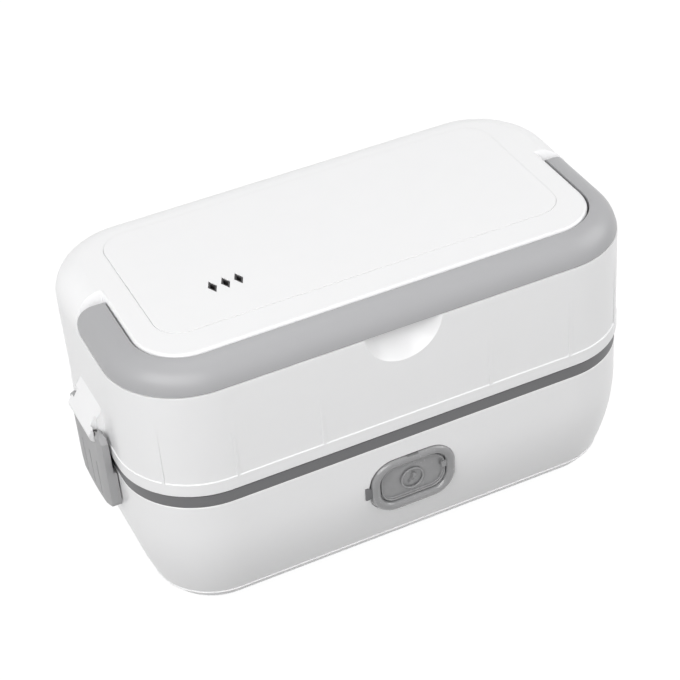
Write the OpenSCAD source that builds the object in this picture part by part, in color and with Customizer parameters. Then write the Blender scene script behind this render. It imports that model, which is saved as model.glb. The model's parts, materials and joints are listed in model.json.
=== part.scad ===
// Electric lunch box: a heated base with a lift-off lid, two latches, a folding handle
// and two steel food containers. Every tub, ring and shell is one section swept round
// the same rounded rectangle, so their walls stay parallel. In a section, x runs outward
// from the centre of the plan's corner and y is the height.

/* [Overall] */
// Length of the box over the trim ring, without the latches
box_len = 235; // [200:1:285]
// Width of the box over the trim ring
box_wid = 124; // [112:1:150]
// Plan radius of the four upright corners
corner_r = 36; // [32:1:44]
// Height at which the white base ends and the trim ring begins
base_top = 66; // [60:0.5:85]
// Visible height of the trim ring
ring_h = 6.3; // [5:0.1:10]
// Gap between the trim ring and the lid
lid_gap = 0.7; // [0.2:0.1:1]
// Height of the lid from its lower edge to its top
lid_h = 63.2; // [56:0.2:85]

/* [Base] */
// Wall of the base shell
base_wall = 2.4; // [1.8:0.1:3]
// Radius of the long curve that draws the lower wall in
tuck_r = 104; // [85:1:120]
// Angle that the long curve turns through
tuck_angle = 24; // [18:1:27]
// Radius of the short curve at the bottom edge
edge_r = 10; // [8:0.5:13]
// Height of the seam between the shell and the bottom cover
seam_z = 8.8; // [7:0.1:9.6]
// How far the bottom cover is set in under the shell's lower edge
cover_in = 0.6; // [0.3:0.1:1]
// Thickness of the bottom cover
cover_t = 2.2; // [1.6:0.1:2.6]
// How far the rubber feet stand below the bottom cover
foot_h = 1.2; // [0.8:0.1:2]
// Radius of a rubber foot
foot_r = 6; // [4:0.5:9]

/* [Lid] */
// Wall of the lid shell
lid_wall = 2.4; // [1.8:0.1:3]
// Radius of the lid's upper edge
shoulder_r = 13; // [9:0.5:18]
// How far the lid wall stands outside the trim ring
lid_out = 0.5; // [0.2:0.1:1]
// How far the band at the lid's lower edge stands outside its wall
band_out = 0.4; // [0.2:0.1:0.6]
// Height of the band at the lid's lower edge
band_h = 6.4; // [5:0.2:9]
// Height of the raised top panel above the lid
panel_rise = 0.2; // [0.1:0.1:0.8]

/* [Handle] */
// Depth of the handle bar, from the lid's top down to its underside
handle_t = 11.6; // [9:0.2:14]
// Width of the handle at the front of the lid
handle_front_w = 12; // [10:0.5:15]
// Width of each handle arm at the ends of the lid
handle_arm_w = 13.5; // [11:0.5:16]
// Gap between the handle and the lid's top
handle_gap = 0.75; // [0.7:0.05:1.2]
// Wall of the handle, which is open underneath
handle_wall = 2.2; // [1.8:0.1:3]
// Radius of the rolled edge where the lid's top drops to the handle
roll_r = 1.8; // [1:0.1:2.4]
// Radius of the handle's two pivot pins
pivot_r = 2; // [1.5:0.1:2.6]
// Half of the finger notch's width
notch_half = 18; // [14:0.5:24]
// Depth of the finger notch into the lid's front
notch_deep = 9; // [7:0.5:11]

/* [Latches] */
// Width of a latch
latch_w = 40; // [34:1:48]
// Width of the lid's knuckle between a latch's two ears
hood_w = 26.4; // [20:0.2:28]
// Distance from the latch pin up from the lid's lower edge
latch_pin_up = 10; // [9:0.5:14]
// Length of a latch below its pin
latch_drop = 38.5; // [32:0.5:42]
// Radius of a latch pin
latch_pin_r = 1.25; // [1:0.05:1.5]

/* [Food containers] */
// Sheet thickness of the steel containers
steel_t = 0.9; // [0.6:0.1:1.2]
// Wall of the plastic tubs and lids
tub_wall = 1.6; // [1.2:0.1:2]
// How far the inner tub's opening is set in from the outer wall
well_inset = 21.5; // [20:0.5:24]

/* [Power inlet] */
// Width of the soft cover over the inlet
flap_w = 41; // [38:0.5:46]
// Height of the soft cover over the inlet
flap_h = 28; // [26.5:0.5:31]
// Corner radius of the soft cover
flap_r = 12; // [9:0.5:13]
// How far the soft cover stands out of the base
flap_out = 1.6; // [1:0.1:2.5]
// Height of the inlet's centre
inlet_z = 42.4; // [38:0.2:46]

/* [Hidden] */
$fn = 96;

// Gap between pieces of one body that seat on each other
seat = 0.15;
// Gap between pieces that move past each other
play = 0.3;
// Running clearance round a pin
pin_play = 0.05;
// Overlap that carries a cut clean through a face
cut = 1;
far = 200;

run_x = box_len/2 - corner_r;
run_y = box_wid/2 - corner_r;

// Base: centres of the long and short curves of its lower wall, as [inset, height]
tuck_z = foot_h + edge_r*(1 - sin(tuck_angle)) + tuck_r*sin(tuck_angle);
tuck_c = [-tuck_r, tuck_z];
edge_c = tuck_c + (tuck_r - edge_r)*[cos(tuck_angle), -sin(tuck_angle)];
// Distance by which the short curve is pushed out, so that it crosses the long one instead of touching it
edge_push = 0.02;
lip_t = 1.6;
lip_h = 3;
boss_in = 18.5;
boss_z = foot_h + cover_t + 0.2;
boss_top = 21.2;
boss_rib = [8.5, 0.5];
boss_bite = 0.6;
boss_hole = 12;
rim_bevel = 0.5;
edge_lip = 0.4;
edge_lip_h = 0.8;
ring_top = base_top + ring_h;
ring_in = 0.4;
ring_open = well_inset - 3.9;
ring_plate = 2.2;
ring_skirt = base_wall + 2.4;
ring_tongue = 5;
foot_spot = [run_x - 12, run_y + 6];
foot_sink = 1;
foot_bevel = 0.8;
cover_slot = [2.6, 30];
slot_pitch = 8;

// Lid
lid_z = ring_top + lid_gap;
lid_top = lid_z + lid_h;
ledge_z = lid_top - handle_t - play;
panel_half = box_len/2 - handle_arm_w;
panel_front = box_wid/2 - handle_front_w;
panel_r = corner_r - 14;
plate_t = 1.2;
plate_len = 2*panel_half - 22;
plate_front = -panel_front + 15;
plate_back = panel_front - 4;
plate_gap = 0.1;
plate_r = 12;
rib_x = 39.2;
rib_w = 1.4;
rib_out = 0.35;
rib_rise = [24, 6];
rib_corner_rise = 38;
lid_boss_in = 9;

// Handle pivot: its centre line runs along X
pivot = [0, lid_top - handle_t/2];
arm_r = handle_t/2;
pocket_back = 10.5;
pin_in = 6;
pin_out = 6.5;
handle_edge = 0.9;
handle_rib = 1.4;
handle_rib_pitch = 21;
handle_solid = 12;
// Distance by which a rolled edge's centre is moved, so that it crosses the flat instead of touching it
roll_lift = 0.04;

// Steam vent: three diamond holes through the top panel
vent_x = -56.2;
vent_y = -11.3;
vent_pitch = 5.9;
diamond = [4, 8.8];
vent_sleeve = 0.92;
vent_hole = 0.55;
vent_box = [24, 14];
vent_lip = 4;
steam_r = 1;
steam_pitch = 3.4;

// Latch pin, measured from the box's centre
hood_r = 3.4;
hood_slot = 2.4;
hood_rise = 12.5;
pin_x = box_len/2 + 4.5;
pin_z = lid_z + latch_pin_up;
latch_t = 2.4;
latch_bevel = [1.4, 8];
ear_bevel = [2.4, 2.6];
latch_back = box_len/2 + 2;
latch_face = pin_x + 2.9;
latch_bow = 800;
groove_r = 0.8;
groove_pitch = 10;
groove_h = 18.5;
keeper_z = base_top - 5;
keeper_out = 1.1;
keeper_half = latch_w/2 - 6;

// Inner tubs, as insets from the outer wall
liner_top = lid_top - lid_wall - 2.2;
liner_z = lid_z + 1.4;
seal_plate = 0.8;
seal_in = 13.4;
basin_inset = well_inset + 2.3;
ledge_top = ring_top - ring_plate;
basin_floor = 24;
draft = 2.6;
can_inset = basin_inset + 0.5 + steel_t;
plate_z = basin_floor + 1.2;
lower_floor = plate_z + 0.6;
rim_z = ledge_top + play;
lower_lid_top = rim_z + steel_t + play + 3.6;
upper_floor = lower_lid_top + play;
upper_rim = liner_top - 9;
seal_h = 1.4;

// Heater
heater = [84, 24, 8];
heater_hole = [136, 34];
clamp_t = 1.5;
clamp_half = 53;
clamp_spot = [clamp_half + 4.5, heater_hole[1]/2 + 5];
clamp_drop = 10;
boss_r = 3.6;

// Screws and the bosses that take them
screw_r = 1.4;
screw_play = 0.2;
head_r = 2.7;
head_h = 1.6;
hex_r = 1;
hex_deep = 0.8;
screw_sink = 0.9;

// Inlet: a shrouded three-pin socket, sunk behind the front wall
front_y = -box_wid/2;
socket = [27.6, 19.8];
socket_deep = 15;
socket_wall = 1.6;
flange = [33, 24];
flange_t = 1.6;
flap_sink = 2.4;
inlet_back = front_y + flap_sink + flange_t + socket_deep;
pin_spots = [[-7, -2], [7, -2], [0, 2]];
pin_size = [2, 4];
pin_gap = 0.1;
pad_back = flap_sink + flange_t + 2;
recess_gap = 0.3;
anchor = [1.5, 6.6];
anchor_x = -flap_w/2 - recess_gap - 1.95;
flap_back = 0.3 - flap_sink;
flap_border = 4.4;
flap_roll = 1;
flap_step = 0.6;
flap_floor = 0.3;
emblem_r = 5.4;
nick = [5, 0.6, 1.2];

function corner_spot(inset) = [
    run_x + (corner_r - inset)*cos(45),
    run_y + (corner_r - inset)*sin(45)
];

// ---- shapes that repeat ----

// Sweeps a section round a rounded rectangle, where x runs outward from a corner's centre
module round_run(size, r) {
    reach = [size[0]/2 - r, size[1]/2 - r];
    for (q = [0:3])
        translate([(q == 0 || q == 3 ? 1 : -1)*reach[0], (q < 2 ? 1 : -1)*reach[1], 0])
            rotate([0, 0, 90*q])
                rotate_extrude(angle = 90)
                    children();
    for (side = [0, 1]) {
        mirror([0, side, 0])
            translate([-reach[0], reach[1], 0])
                rotate([90, 0, 90])
                    linear_extrude(2*reach[0])
                        children();
        mirror([side, 0, 0])
            translate([reach[0], reach[1], 0])
                rotate([90, 0, 0])
                    linear_extrude(2*reach[1])
                        children();
    }
}

// Sweeps a section round the box's plan, and fills the middle between two heights
module sweep(fill = [0, 0]) {
    round_run([box_len, box_wid], corner_r)
        children();
    if (fill[1] > fill[0])
        translate([-run_x, -run_y, fill[0]])
            cube([2*run_x, 2*run_y, fill[1] - fill[0]]);
}

// A section's block from the corner centre out to an inset, between two heights
module block(inset, z0, z1) {
    translate([0, z0])
        square([corner_r - inset, z1 - z0]);
}

// A section's bar between two insets and two heights
module bar(outer, inner, z0, z1) {
    translate([corner_r - inner, z0])
        square([inner - outer, z1 - z0]);
}

// A slice of a disc from the horizontal down to an angle
module slice(c, r, angle) {
    intersection() {
        translate(c)
            circle(r);
        polygon([for (a = [0, angle/2, angle]) c + 2*r*[cos(a), -sin(a)], c]);
    }
}

// Section of the base's body, inset by a wall
module base_outline(off) {
    intersection() {
        translate([0, foot_h + off])
            square([corner_r, base_top - foot_h - off]);
        translate([corner_r, 0])
            union() {
                translate([-corner_r, tuck_z])
                    square([corner_r - off, far]);
                slice(tuck_c, tuck_r - off, tuck_angle);
                translate(edge_c + edge_push*[cos(tuck_angle), -sin(tuck_angle)])
                    intersection() {
                        circle(edge_r - off);
                        translate([-cut, -far])
                            square([far, far + cut]);
                    }
                translate([-corner_r, foot_h])
                    square([corner_r + edge_c[0], tuck_z]);
            }
    }
}

// Section of the bottom cover's outside, set in under the shell
module cover_outline() {
    intersection() {
        translate([-cover_in, 0])
            base_outline(0);
        translate([0, foot_h])
            square([corner_r, seam_z - foot_h]);
    }
}

// Section of the lid's body, inset by a wall
module lid_outline(off) {
    edge = corner_r + lid_out - off;
    r = shoulder_r - off;
    block(off - lid_out, lid_z, lid_top - shoulder_r);
    translate([edge - r, lid_top - shoulder_r])
        intersection() {
            circle(r);
            square(far);
        }
    translate([0, lid_top - shoulder_r])
        square([edge - r, r]);
}

// Section of the band round the lid's lower edge, with a bevel along its top
module lid_band() {
    edge = corner_r + lid_out;
    polygon([
        [0, lid_z],
        [edge + band_out, lid_z],
        [edge + band_out, lid_z + band_h - band_out],
        [edge - 1, lid_z + band_h + 1],
        [0, lid_z + band_h + 1]
    ]);
}

// Keeps the part of a section between two heights
module between(z0, z1) {
    intersection() {
        children();
        translate([0, z0])
            square([corner_r + 10, z1 - z0]);
    }
}

// Plan of the lid's flat top in front of its rear shoulder, grown by a gap
module top_plan(grow) {
    for (side = [-1, 1])
        translate([side*(panel_half - panel_r), panel_r - panel_front])
            circle(panel_r + grow);
    translate([-panel_half - grow, panel_r - panel_front])
        square([2*(panel_half + grow), far]);
    translate([panel_r - panel_half, -panel_front - grow])
        square([2*(panel_half - panel_r), far]);
}

// Sweeps a section round the front and sides of the lid's flat top, where x runs outward
// from the centre of the top's corner
module panel_run() {
    for (side = [0, 1])
        mirror([side, 0, 0])
            translate([panel_half - panel_r, panel_r - panel_front, 0]) {
                rotate([0, 0, -90])
                    rotate_extrude(angle = 90)
                        children();
                mirror([0, 1, 0])
                    rotate([90, 0, 0])
                        linear_extrude(far)
                            children();
            }
    translate([panel_half - panel_r, panel_r - panel_front, 0])
        rotate([90, 0, -90])
            linear_extrude(2*(panel_half - panel_r))
                children();
}

// Rounded rectangle centred on the origin
module round_rect(size, r) {
    for (x = [-1, 1], y = [-1, 1])
        translate([x*(size[0]/2 - r), y*(size[1]/2 - r)])
            circle(r);
    square([size[0], size[1] - 2*r], center = true);
    square([size[0] - 2*r, size[1]], center = true);
}

// Extrudes a YZ outline along X between two stations
module along_x(x0, x1) {
    translate([x0, 0, 0])
        rotate([90, 0, 90])
            linear_extrude(x1 - x0)
                children();
}

// Extrudes an XZ outline along Y between two stations
module along_y(y0, y1) {
    translate([0, y1, 0])
        rotate([90, 0, 0])
            linear_extrude(y1 - y0)
                children();
}

// Puts a child at all four corners of the plan
module at_corners(spot) {
    for (x = [-1, 1], y = [-1, 1])
        translate([x*spot[0], y*spot[1], 0])
            children();
}

function unit(v) = v/norm(v);

// Direction of a route at one of its points
function heading(route, i) = unit(route[min(i + 1, len(route) - 1)] - route[max(i - 1, 0)]);

// A thin wire swept along the points of a route
module wire(route, r) {
    sides = 8;
    aside = unit([1, 2, 3]);
    last = len(route) - 1;
    rings = [for (i = [0:last])
        let (t = heading(route, i), u = unit(cross(t, aside)), v = cross(t, u))
        for (k = [0:sides - 1]) route[i] + r*(cos(360*k/sides)*u + sin(360*k/sides)*v)];
    walls = [for (i = [0:last - 1], k = [0:sides - 1])
        let (a = i*sides + k, b = i*sides + (k + 1) % sides)
        [a, b, b + sides, a + sides]];
    ends = [[for (k = [sides - 1:-1:0]) k], [for (k = [0:sides - 1]) last*sides + k]];
    polyhedron(rings, concat(walls, ends));
}

// A pan-head screw with its head down at the origin
module screw(length) {
    cylinder(r = head_r, h = head_h);
    cylinder(r = screw_r, h = length);
}

// ---- base ----

// Inset of the base's outer wall at a height on its long curve
function wall_inset(z) = tuck_r - sqrt(tuck_r*tuck_r - (tuck_z - z)*(tuck_z - z));

// Screw bosses for the bottom cover, each tied to the wall by a rib
module base_bosses() {
    z1 = boss_top - boss_rib[0];
    z2 = boss_top - boss_rib[1];
    x0 = corner_r - boss_in + boss_r - boss_bite;
    at_corners(corner_spot(boss_in))
        translate([0, 0, boss_z])
            difference() {
                cylinder(r = boss_r, h = boss_top - boss_z);
                translate([0, 0, -cut])
                    cylinder(r = screw_r + pin_play, h = boss_hole + cut);
            }
    for (x = [-1, 1], y = [-1, 1])
        translate([x*run_x, y*run_y, 0])
            rotate([0, 0, atan2(y, x)])
                rotate([90, 0, 0])
                    linear_extrude(2, center = true)
                        polygon([
                            [x0, z1],
                            [corner_r - wall_inset(z1) - base_wall/2, z1],
                            [corner_r - wall_inset(z2) - base_wall/2, z2],
                            [x0, z2]
                        ]);
}

// Small lip round the shell's lower edge, which hides the seam
module rim_lip() {
    z = seam_z + seat;
    spot = [for (up = [0, edge_lip_h, edge_lip_h + edge_lip]) [corner_r - wall_inset(z + up), z + up]];
    polygon([
        spot[0] - [1, 0],
        spot[0] + [edge_lip, 0],
        spot[1] + [edge_lip, 0],
        spot[2] - [edge_lip/4, 0],
        spot[2] - [1, 0]
    ]);
}

module base_shell() {
    color("white") {
        difference() {
            union() {
                sweep() {
                    rim_lip();
                    between(seam_z + seat, base_top)
                        difference() {
                            base_outline(0);
                            base_outline(base_wall);
                            // Bevel on the upper rim
                            translate([corner_r, base_top])
                                rotate(45)
                                    square(rim_bevel*sqrt(2), center = true);
                        }
                }
                // Thicker pad behind the inlet, which never stands out of the wall
                intersection() {
                    translate([0, front_y + base_wall/2, inlet_z])
                        rotate([-90, 0, 0])
                            linear_extrude(pad_back - base_wall/2)
                                round_rect([flap_w + 6, flap_h + 6], flap_r);
                    translate([-flap_w, -run_y, 0])
                        mirror([0, 1, 0])
                            rotate([90, 0, 90])
                                linear_extrude(2*flap_w)
                                    base_outline(base_wall/2);
                }
            }
            inlet_cut();
        }
        base_bosses();
        // Ridge that each latch snaps over
        for (side = [0, 1])
            mirror([side, 0, 0])
                along_y(-keeper_half, keeper_half)
                    translate([box_len/2, keeper_z])
                        polygon([
                            [-base_wall/2, -3],
                            [0, -2.4],
                            [keeper_out, -1],
                            [keeper_out, 0.4],
                            [0, 2.4],
                            [-base_wall/2, 2.4]
                        ]);
    }
}

// Everything that the inlet, its soft cover and the cover's anchor take out of the base
module inlet_cut() {
    translate([0, front_y + flap_sink, inlet_z])
        rotate([90, 0, 0])
            linear_extrude(flap_sink + cut)
                round_rect([flap_w + 2*recess_gap, flap_h + 2*recess_gap], flap_r + recess_gap);
    translate([0, front_y + flap_sink + flange_t, inlet_z])
        rotate([90, 0, 0])
            linear_extrude(flange_t + cut)
                round_rect([flange[0] + 2*seat, flange[1] + 2*seat], 4);
    translate([0, front_y + 10, inlet_z])
        rotate([90, 0, 0])
            linear_extrude(10)
                round_rect([socket[0] + 2*seat, socket[1] + 2*seat], 3);
    translate([anchor_x - pin_gap/2, front_y - cut, inlet_z - anchor[1]/2 - pin_gap])
        cube([anchor[0] + pin_gap, 12, anchor[1] + 2*pin_gap]);
}

module base_ring() {
    color([0.46, 0.46, 0.47])
        sweep() {
            bar(ring_in, ring_open, ledge_top, ring_top);
            bar(0, ring_skirt, base_top + seat, ring_top - ring_in);
            bar(base_wall + seat, ring_skirt - ring_in, base_top - ring_tongue, ring_top - cut);
        }
}

module bottom_cover() {
    inner = base_wall + seat + lip_t;
    spot = corner_spot(boss_in);
    color([0.88, 0.88, 0.88])
        difference() {
            sweep([foot_h, foot_h + cover_t]) {
                between(foot_h, seam_z)
                    difference() {
                        cover_outline();
                        base_outline(inner);
                    }
                between(foot_h, seam_z + lip_h)
                    difference() {
                        base_outline(base_wall + seat);
                        base_outline(inner);
                    }
                between(foot_h, foot_h + cover_t)
                    cover_outline();
            }
            at_corners(spot) {
                translate([0, 0, foot_h - cut])
                    cylinder(r = screw_r + screw_play, h = far);
                translate([0, 0, boss_z - 2*screw_play])
                    cylinder(r = boss_r + 2*screw_play, h = far);
                translate([0, 0, foot_h - cut])
                    cylinder(r = head_r + play, h = cut + head_h - screw_sink);
            }
            at_corners(foot_spot)
                translate([0, 0, foot_h - cut])
                    cylinder(r = foot_r + seat, h = cut + foot_sink);
            for (i = [-3:3])
                translate([i*slot_pitch - cover_slot[0]/2, -cover_slot[1]/2, foot_h - cut])
                    cube([cover_slot[0], cover_slot[1], far]);
        }
}

module rubber_feet() {
    color([0.25, 0.25, 0.26])
        at_corners(foot_spot)
            rotate_extrude()
                polygon([
                    [0, 0],
                    [foot_r - foot_bevel, 0],
                    [foot_r, foot_bevel],
                    [foot_r, foot_h + foot_sink],
                    [0, foot_h + foot_sink]
                ]);
}

module cover_screws() {
    color("silver")
        at_corners(corner_spot(boss_in))
            translate([0, 0, foot_h - screw_sink])
                difference() {
                    screw(14);
                    translate([0, 0, -cut])
                        cylinder(r = hex_r, h = cut + hex_deep, $fn = 6);
                }
}

// ---- heating parts ----

module basin() {
    top_in = basin_inset;
    floor_in = basin_inset + draft;
    color([0.9, 0.9, 0.9])
        difference() {
            union() {
                sweep([basin_floor - tub_wall, basin_floor]) {
                    polygon([
                        [corner_r - top_in + tub_wall, ledge_top],
                        [corner_r - top_in, ledge_top],
                        [corner_r - floor_in, basin_floor],
                        [0, basin_floor],
                        [0, basin_floor - tub_wall],
                        [corner_r - floor_in + tub_wall, basin_floor - tub_wall]
                    ]);
                    bar(12, top_in, ledge_top - tub_wall, ledge_top);
                }
                at_corners(clamp_spot)
                    translate([0, 0, basin_floor - clamp_drop])
                        cylinder(r = boss_r, h = clamp_drop - 1);
            }
            translate([-heater_hole[0]/2, -heater_hole[1]/2, 0])
                cube([heater_hole[0], heater_hole[1], basin_floor + cut]);
            at_corners(clamp_spot)
                translate([0, 0, basin_floor - clamp_drop - cut])
                    cylinder(r = screw_r + pin_play, h = 8 + cut);
        }
}

module heating_plate() {
    color("silver")
        translate([0, 0, basin_floor])
            linear_extrude(plate_z - basin_floor)
                round_rect([heater_hole[0] + 16, heater_hole[1] + 14], 9);
}

module ptc_heater() {
    color([0.75, 0.72, 0.68])
        difference() {
            translate([-heater[0]/2, -heater[1]/2, basin_floor - heater[2]])
                cube(heater);
            // Fins of the aluminium case
            for (i = [-5:5])
                translate([i*7 - 1, -heater[1]/2 - cut, basin_floor - heater[2] - cut])
                    cube([2, heater[1] + 2*cut, 2.5 + cut]);
        }
}

module heater_clamp() {
    z = basin_floor - clamp_drop - clamp_t;
    color("gainsboro")
        difference() {
            union() {
                for (x = [-1, 1])
                    translate([x*clamp_spot[0] - 5, -clamp_spot[1] - 5, z])
                        cube([10, 2*clamp_spot[1] + 10, clamp_t]);
                translate([-clamp_half, -7, z])
                    cube([2*clamp_half, 14, clamp_t]);
                // Raised pad that presses on the heater
                translate([-heater[0]/2 + 4, -6, z])
                    cube([heater[0] - 8, 12, basin_floor - heater[2] - z]);
            }
            at_corners(clamp_spot)
                translate([0, 0, z - cut])
                    cylinder(r = screw_r + screw_play, h = clamp_t + 2*cut);
            translate([clamp_half + 4, 0, z - cut])
                cylinder(r = 7, h = clamp_t + 2*cut);
        }
}

module clamp_screws() {
    color("silver")
        at_corners(clamp_spot)
            translate([0, 0, basin_floor - clamp_drop - clamp_t - head_h])
                screw(9);
}

module thermostat() {
    color([0.2, 0.2, 0.22])
        translate([clamp_half + 2, 0, 0]) {
            translate([0, 0, basin_floor - 3])
                cylinder(r = 8, h = 3);
            translate([0, 0, basin_floor - 8])
                cylinder(r = 6.5, h = 6);
            for (y = [-1, 1])
                translate([-1.5, y*4 - 0.4, basin_floor - 9.8])
                    cube([3, 0.8, 4]);
        }
}

module thermal_fuse() {
    color("white")
        translate([-heater[0]/2 - 18, 0, basin_floor - 2.5]) {
            rotate([0, 90, 0])
                cylinder(r = 2.5, h = 14);
            translate([-4, 0, 0])
                rotate([0, 90, 0])
                    cylinder(r = 0.5, h = 22);
        }
}

// ---- power inlet ----

module power_inlet() {
    color([0.15, 0.15, 0.16])
        difference() {
            union() {
                translate([0, front_y + flap_sink + flange_t, inlet_z])
                    rotate([90, 0, 0])
                        linear_extrude(flange_t)
                            round_rect(flange, 4);
                translate([0, inlet_back, inlet_z])
                    rotate([90, 0, 0])
                        linear_extrude(socket_deep + flange_t/2)
                            round_rect(socket, 3);
                // Snap wings behind the wall
                for (x = [-1, 1])
                    translate([x*(socket[0]/2 + 0.6) - 1, front_y + flap_sink + flange_t + 2.3, inlet_z - 4])
                        cube([2, 5, 8]);
            }
            translate([0, inlet_back - socket_wall, inlet_z])
                rotate([90, 0, 0])
                    linear_extrude(socket_deep + flange_t + cut)
                        round_rect([socket[0] - 2*socket_wall, socket[1] - 2*socket_wall], 2.4);
            for (p = pin_spots)
                translate([
                    p[0] - pin_size[0]/2 - pin_gap,
                    inlet_back - socket_wall - cut,
                    inlet_z + p[1] - pin_size[1]/2 - pin_gap
                ])
                    cube([pin_size[0] + 2*pin_gap, socket_wall + 2*cut, pin_size[1] + 2*pin_gap]);
        }
}

module inlet_pins() {
    color([0.8, 0.66, 0.35])
        for (p = pin_spots)
            translate([p[0] - pin_size[0]/2, inlet_back - socket_deep + 3, inlet_z + p[1] - pin_size[1]/2])
                cube([pin_size[0], socket_deep + 1, pin_size[1]]);
}

module inner_leads() {
    start = inlet_back + 2.5;
    low = 8;
    left = -heater[0]/2 - 23;
    right = clamp_half + 2;
    color([0.7, 0.15, 0.12]) {
        wire([[-7, start, inlet_z - 4.2], [-7, start, low + 4], [-8, start + 1, low + 1],
            [-12, start + 3, low], [left + 4, -24, low], [left, -18, low], [left, -4, low],
            [left, -1, low + 1], [left, 0, low + 4], [left, 0, basin_floor - 3.2]], 1);
        wire([[7, start, inlet_z - 4.2], [7, start, low + 4], [8, start + 1, low + 1],
            [12, start + 3, low], [right - 8, -19, low], [right - 1, -9, low],
            [right, -5, low + 1], [right, -4, low + 4], [right, -4, basin_floor - 10]], 1);
        wire([[0, start, inlet_z - 0.2], [0, start, low + 4], [0, start + 1, low + 1],
            [0, start + 4, low], [0, -14, low], [0, -10, low + 1], [0, -9, low + 4.2]], 1);
    }
}

module flap_anchor() {
    color([0.47, 0.47, 0.48]) {
        translate([anchor_x, front_y - play, inlet_z - anchor[1]/2])
            cube([anchor[0], pad_back + 1.5, anchor[1]]);
        translate([anchor_x - 1, front_y + pad_back + pin_gap, inlet_z - anchor[1]/2])
            cube([anchor[0] + 1.5, 1.4, anchor[1]]);
    }
}

// Section of the soft cover: a rounded border, a dark step, a thin lip and a sunken middle
module flap_section() {
    inner = flap_r - flap_border;
    translate([flap_r - flap_out, 0])
        intersection() {
            circle(flap_out);
            square(far);
        }
    translate([inner + flap_roll, 0])
        square([flap_border - flap_roll - flap_out, flap_out]);
    translate([inner + flap_roll, flap_out - flap_roll])
        intersection() {
            circle(flap_roll);
            translate([-far, 0])
                square(far);
        }
    translate([inner, 0])
        square([flap_roll, flap_out - flap_roll]);
    translate([0, flap_back])
        square([flap_r, -flap_back]);
    translate([inner - 2*flap_step, 0])
        square([flap_step, flap_floor + flap_step]);
    square([inner - 2*flap_step, flap_floor]);
}

// Raised ring with a spark in it, in the middle of the soft cover
module flap_emblem() {
    difference() {
        circle(emblem_r);
        circle(emblem_r - flap_step);
    }
    polygon([[0.9, 3.4], [-2.2, -0.5], [-0.3, -0.5], [-0.9, -3.4], [2.2, 0.5], [0.3, 0.5]]);
}

module inlet_flap() {
    lip = [socket[0] - 2*socket_wall - 2, socket[1] - 2*socket_wall - 2];
    color([0.47, 0.47, 0.48])
        difference() {
            union() {
                translate([0, front_y, inlet_z])
                    rotate([90, 0, 0]) {
                        round_run([flap_w, flap_h], flap_r)
                            flap_section();
                        translate([0, 0, flap_back])
                            linear_extrude(flap_floor - flap_back)
                                square([flap_w - 2*flap_r, flap_h - 2*flap_r], center = true);
                        linear_extrude(flap_floor + flap_step)
                            flap_emblem();
                    }
                translate([0, front_y + flap_sink + flange_t, inlet_z])
                    rotate([90, 0, 0])
                        linear_extrude(flange_t + 0.6)
                            round_rect(lip, 2.4);
            }
            // Nick for a fingernail in the upper border
            translate([-nick[0]/2, front_y - flap_out - cut, inlet_z + flap_h/2 - nick[1]])
                cube([nick[0], cut + nick[2], far]);
        }
}

// ---- lid ----

// Outline of the space for the handle in a cross-section, with its rear pocket
module channel_profile() {
    translate([-far, ledge_z])
        square([far + pivot[0], far]);
    translate(pivot)
        circle(arm_r + play);
    polygon([
        pivot,
        pivot + [arm_r + play, -0.8],
        [pocket_back, lid_top],
        [pocket_back, far],
        [pivot[0] - 1, far]
    ]);
}

// The channel leaves the lid's top standing, with a rolled edge
module handle_channel() {
    difference() {
        along_x(-far, far)
            channel_profile();
        translate([0, 0, -cut])
            linear_extrude(far)
                top_plan(-roll_r);
        panel_run() {
            translate([0, -cut])
                square([panel_r, lid_top - roll_r + cut]);
            translate([panel_r - roll_r, lid_top - roll_r + roll_lift])
                circle(roll_r);
        }
    }
}

// The notch is a shallow ball cut with its rim on the lid's front
notch_c = ledge_z + 2;
notch_ball = (notch_half*notch_half + notch_deep*notch_deep)/(2*notch_deep);

module notch_sphere(grow) {
    translate([0, front_y - lid_out - notch_ball + notch_deep, notch_c])
        sphere(notch_ball + grow);
}

module hood_profile() {
    translate([pin_x, pin_z])
        circle(hood_r);
    polygon([
        [box_len/2, pin_z - hood_r],
        [pin_x, pin_z - hood_r],
        [pin_x + hood_r, pin_z],
        [pin_x + hood_r, pin_z + 1],
        [box_len/2 + lid_out, pin_z + hood_rise],
        [box_len/2, pin_z + hood_rise]
    ]);
}

// A thin upright rib, seen from a corner centre along X, that sinks into the wall as it rises
module fading_rib(tall) {
    foot = corner_r + lid_out + rib_out;
    rotate([90, 0, 0])
        linear_extrude(rib_w, center = true)
            polygon([
                [corner_r - 1, lid_z + band_h - 1],
                [foot, lid_z + band_h - 1],
                [foot, lid_z + band_h],
                [foot - rib_out - 0.05, lid_z + band_h + tall],
                [corner_r - 1, lid_z + band_h + tall]
            ]);
}

module lid_cavity() {
    deck = ledge_z - lid_wall;
    sweep([lid_z - cut, deck])
        union() {
            between(0, deck)
                lid_outline(lid_wall);
            block(lid_wall - lid_out, lid_z - cut, lid_z + cut);
        }
    intersection() {
        sweep([deck - cut, lid_top - lid_wall])
            between(deck - cut, lid_top)
                lid_outline(lid_wall);
        linear_extrude(far)
            union() {
                top_plan(-lid_wall);
                translate([-far, pocket_back + lid_wall])
                    square([2*far, far]);
            }
    }
}

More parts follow.
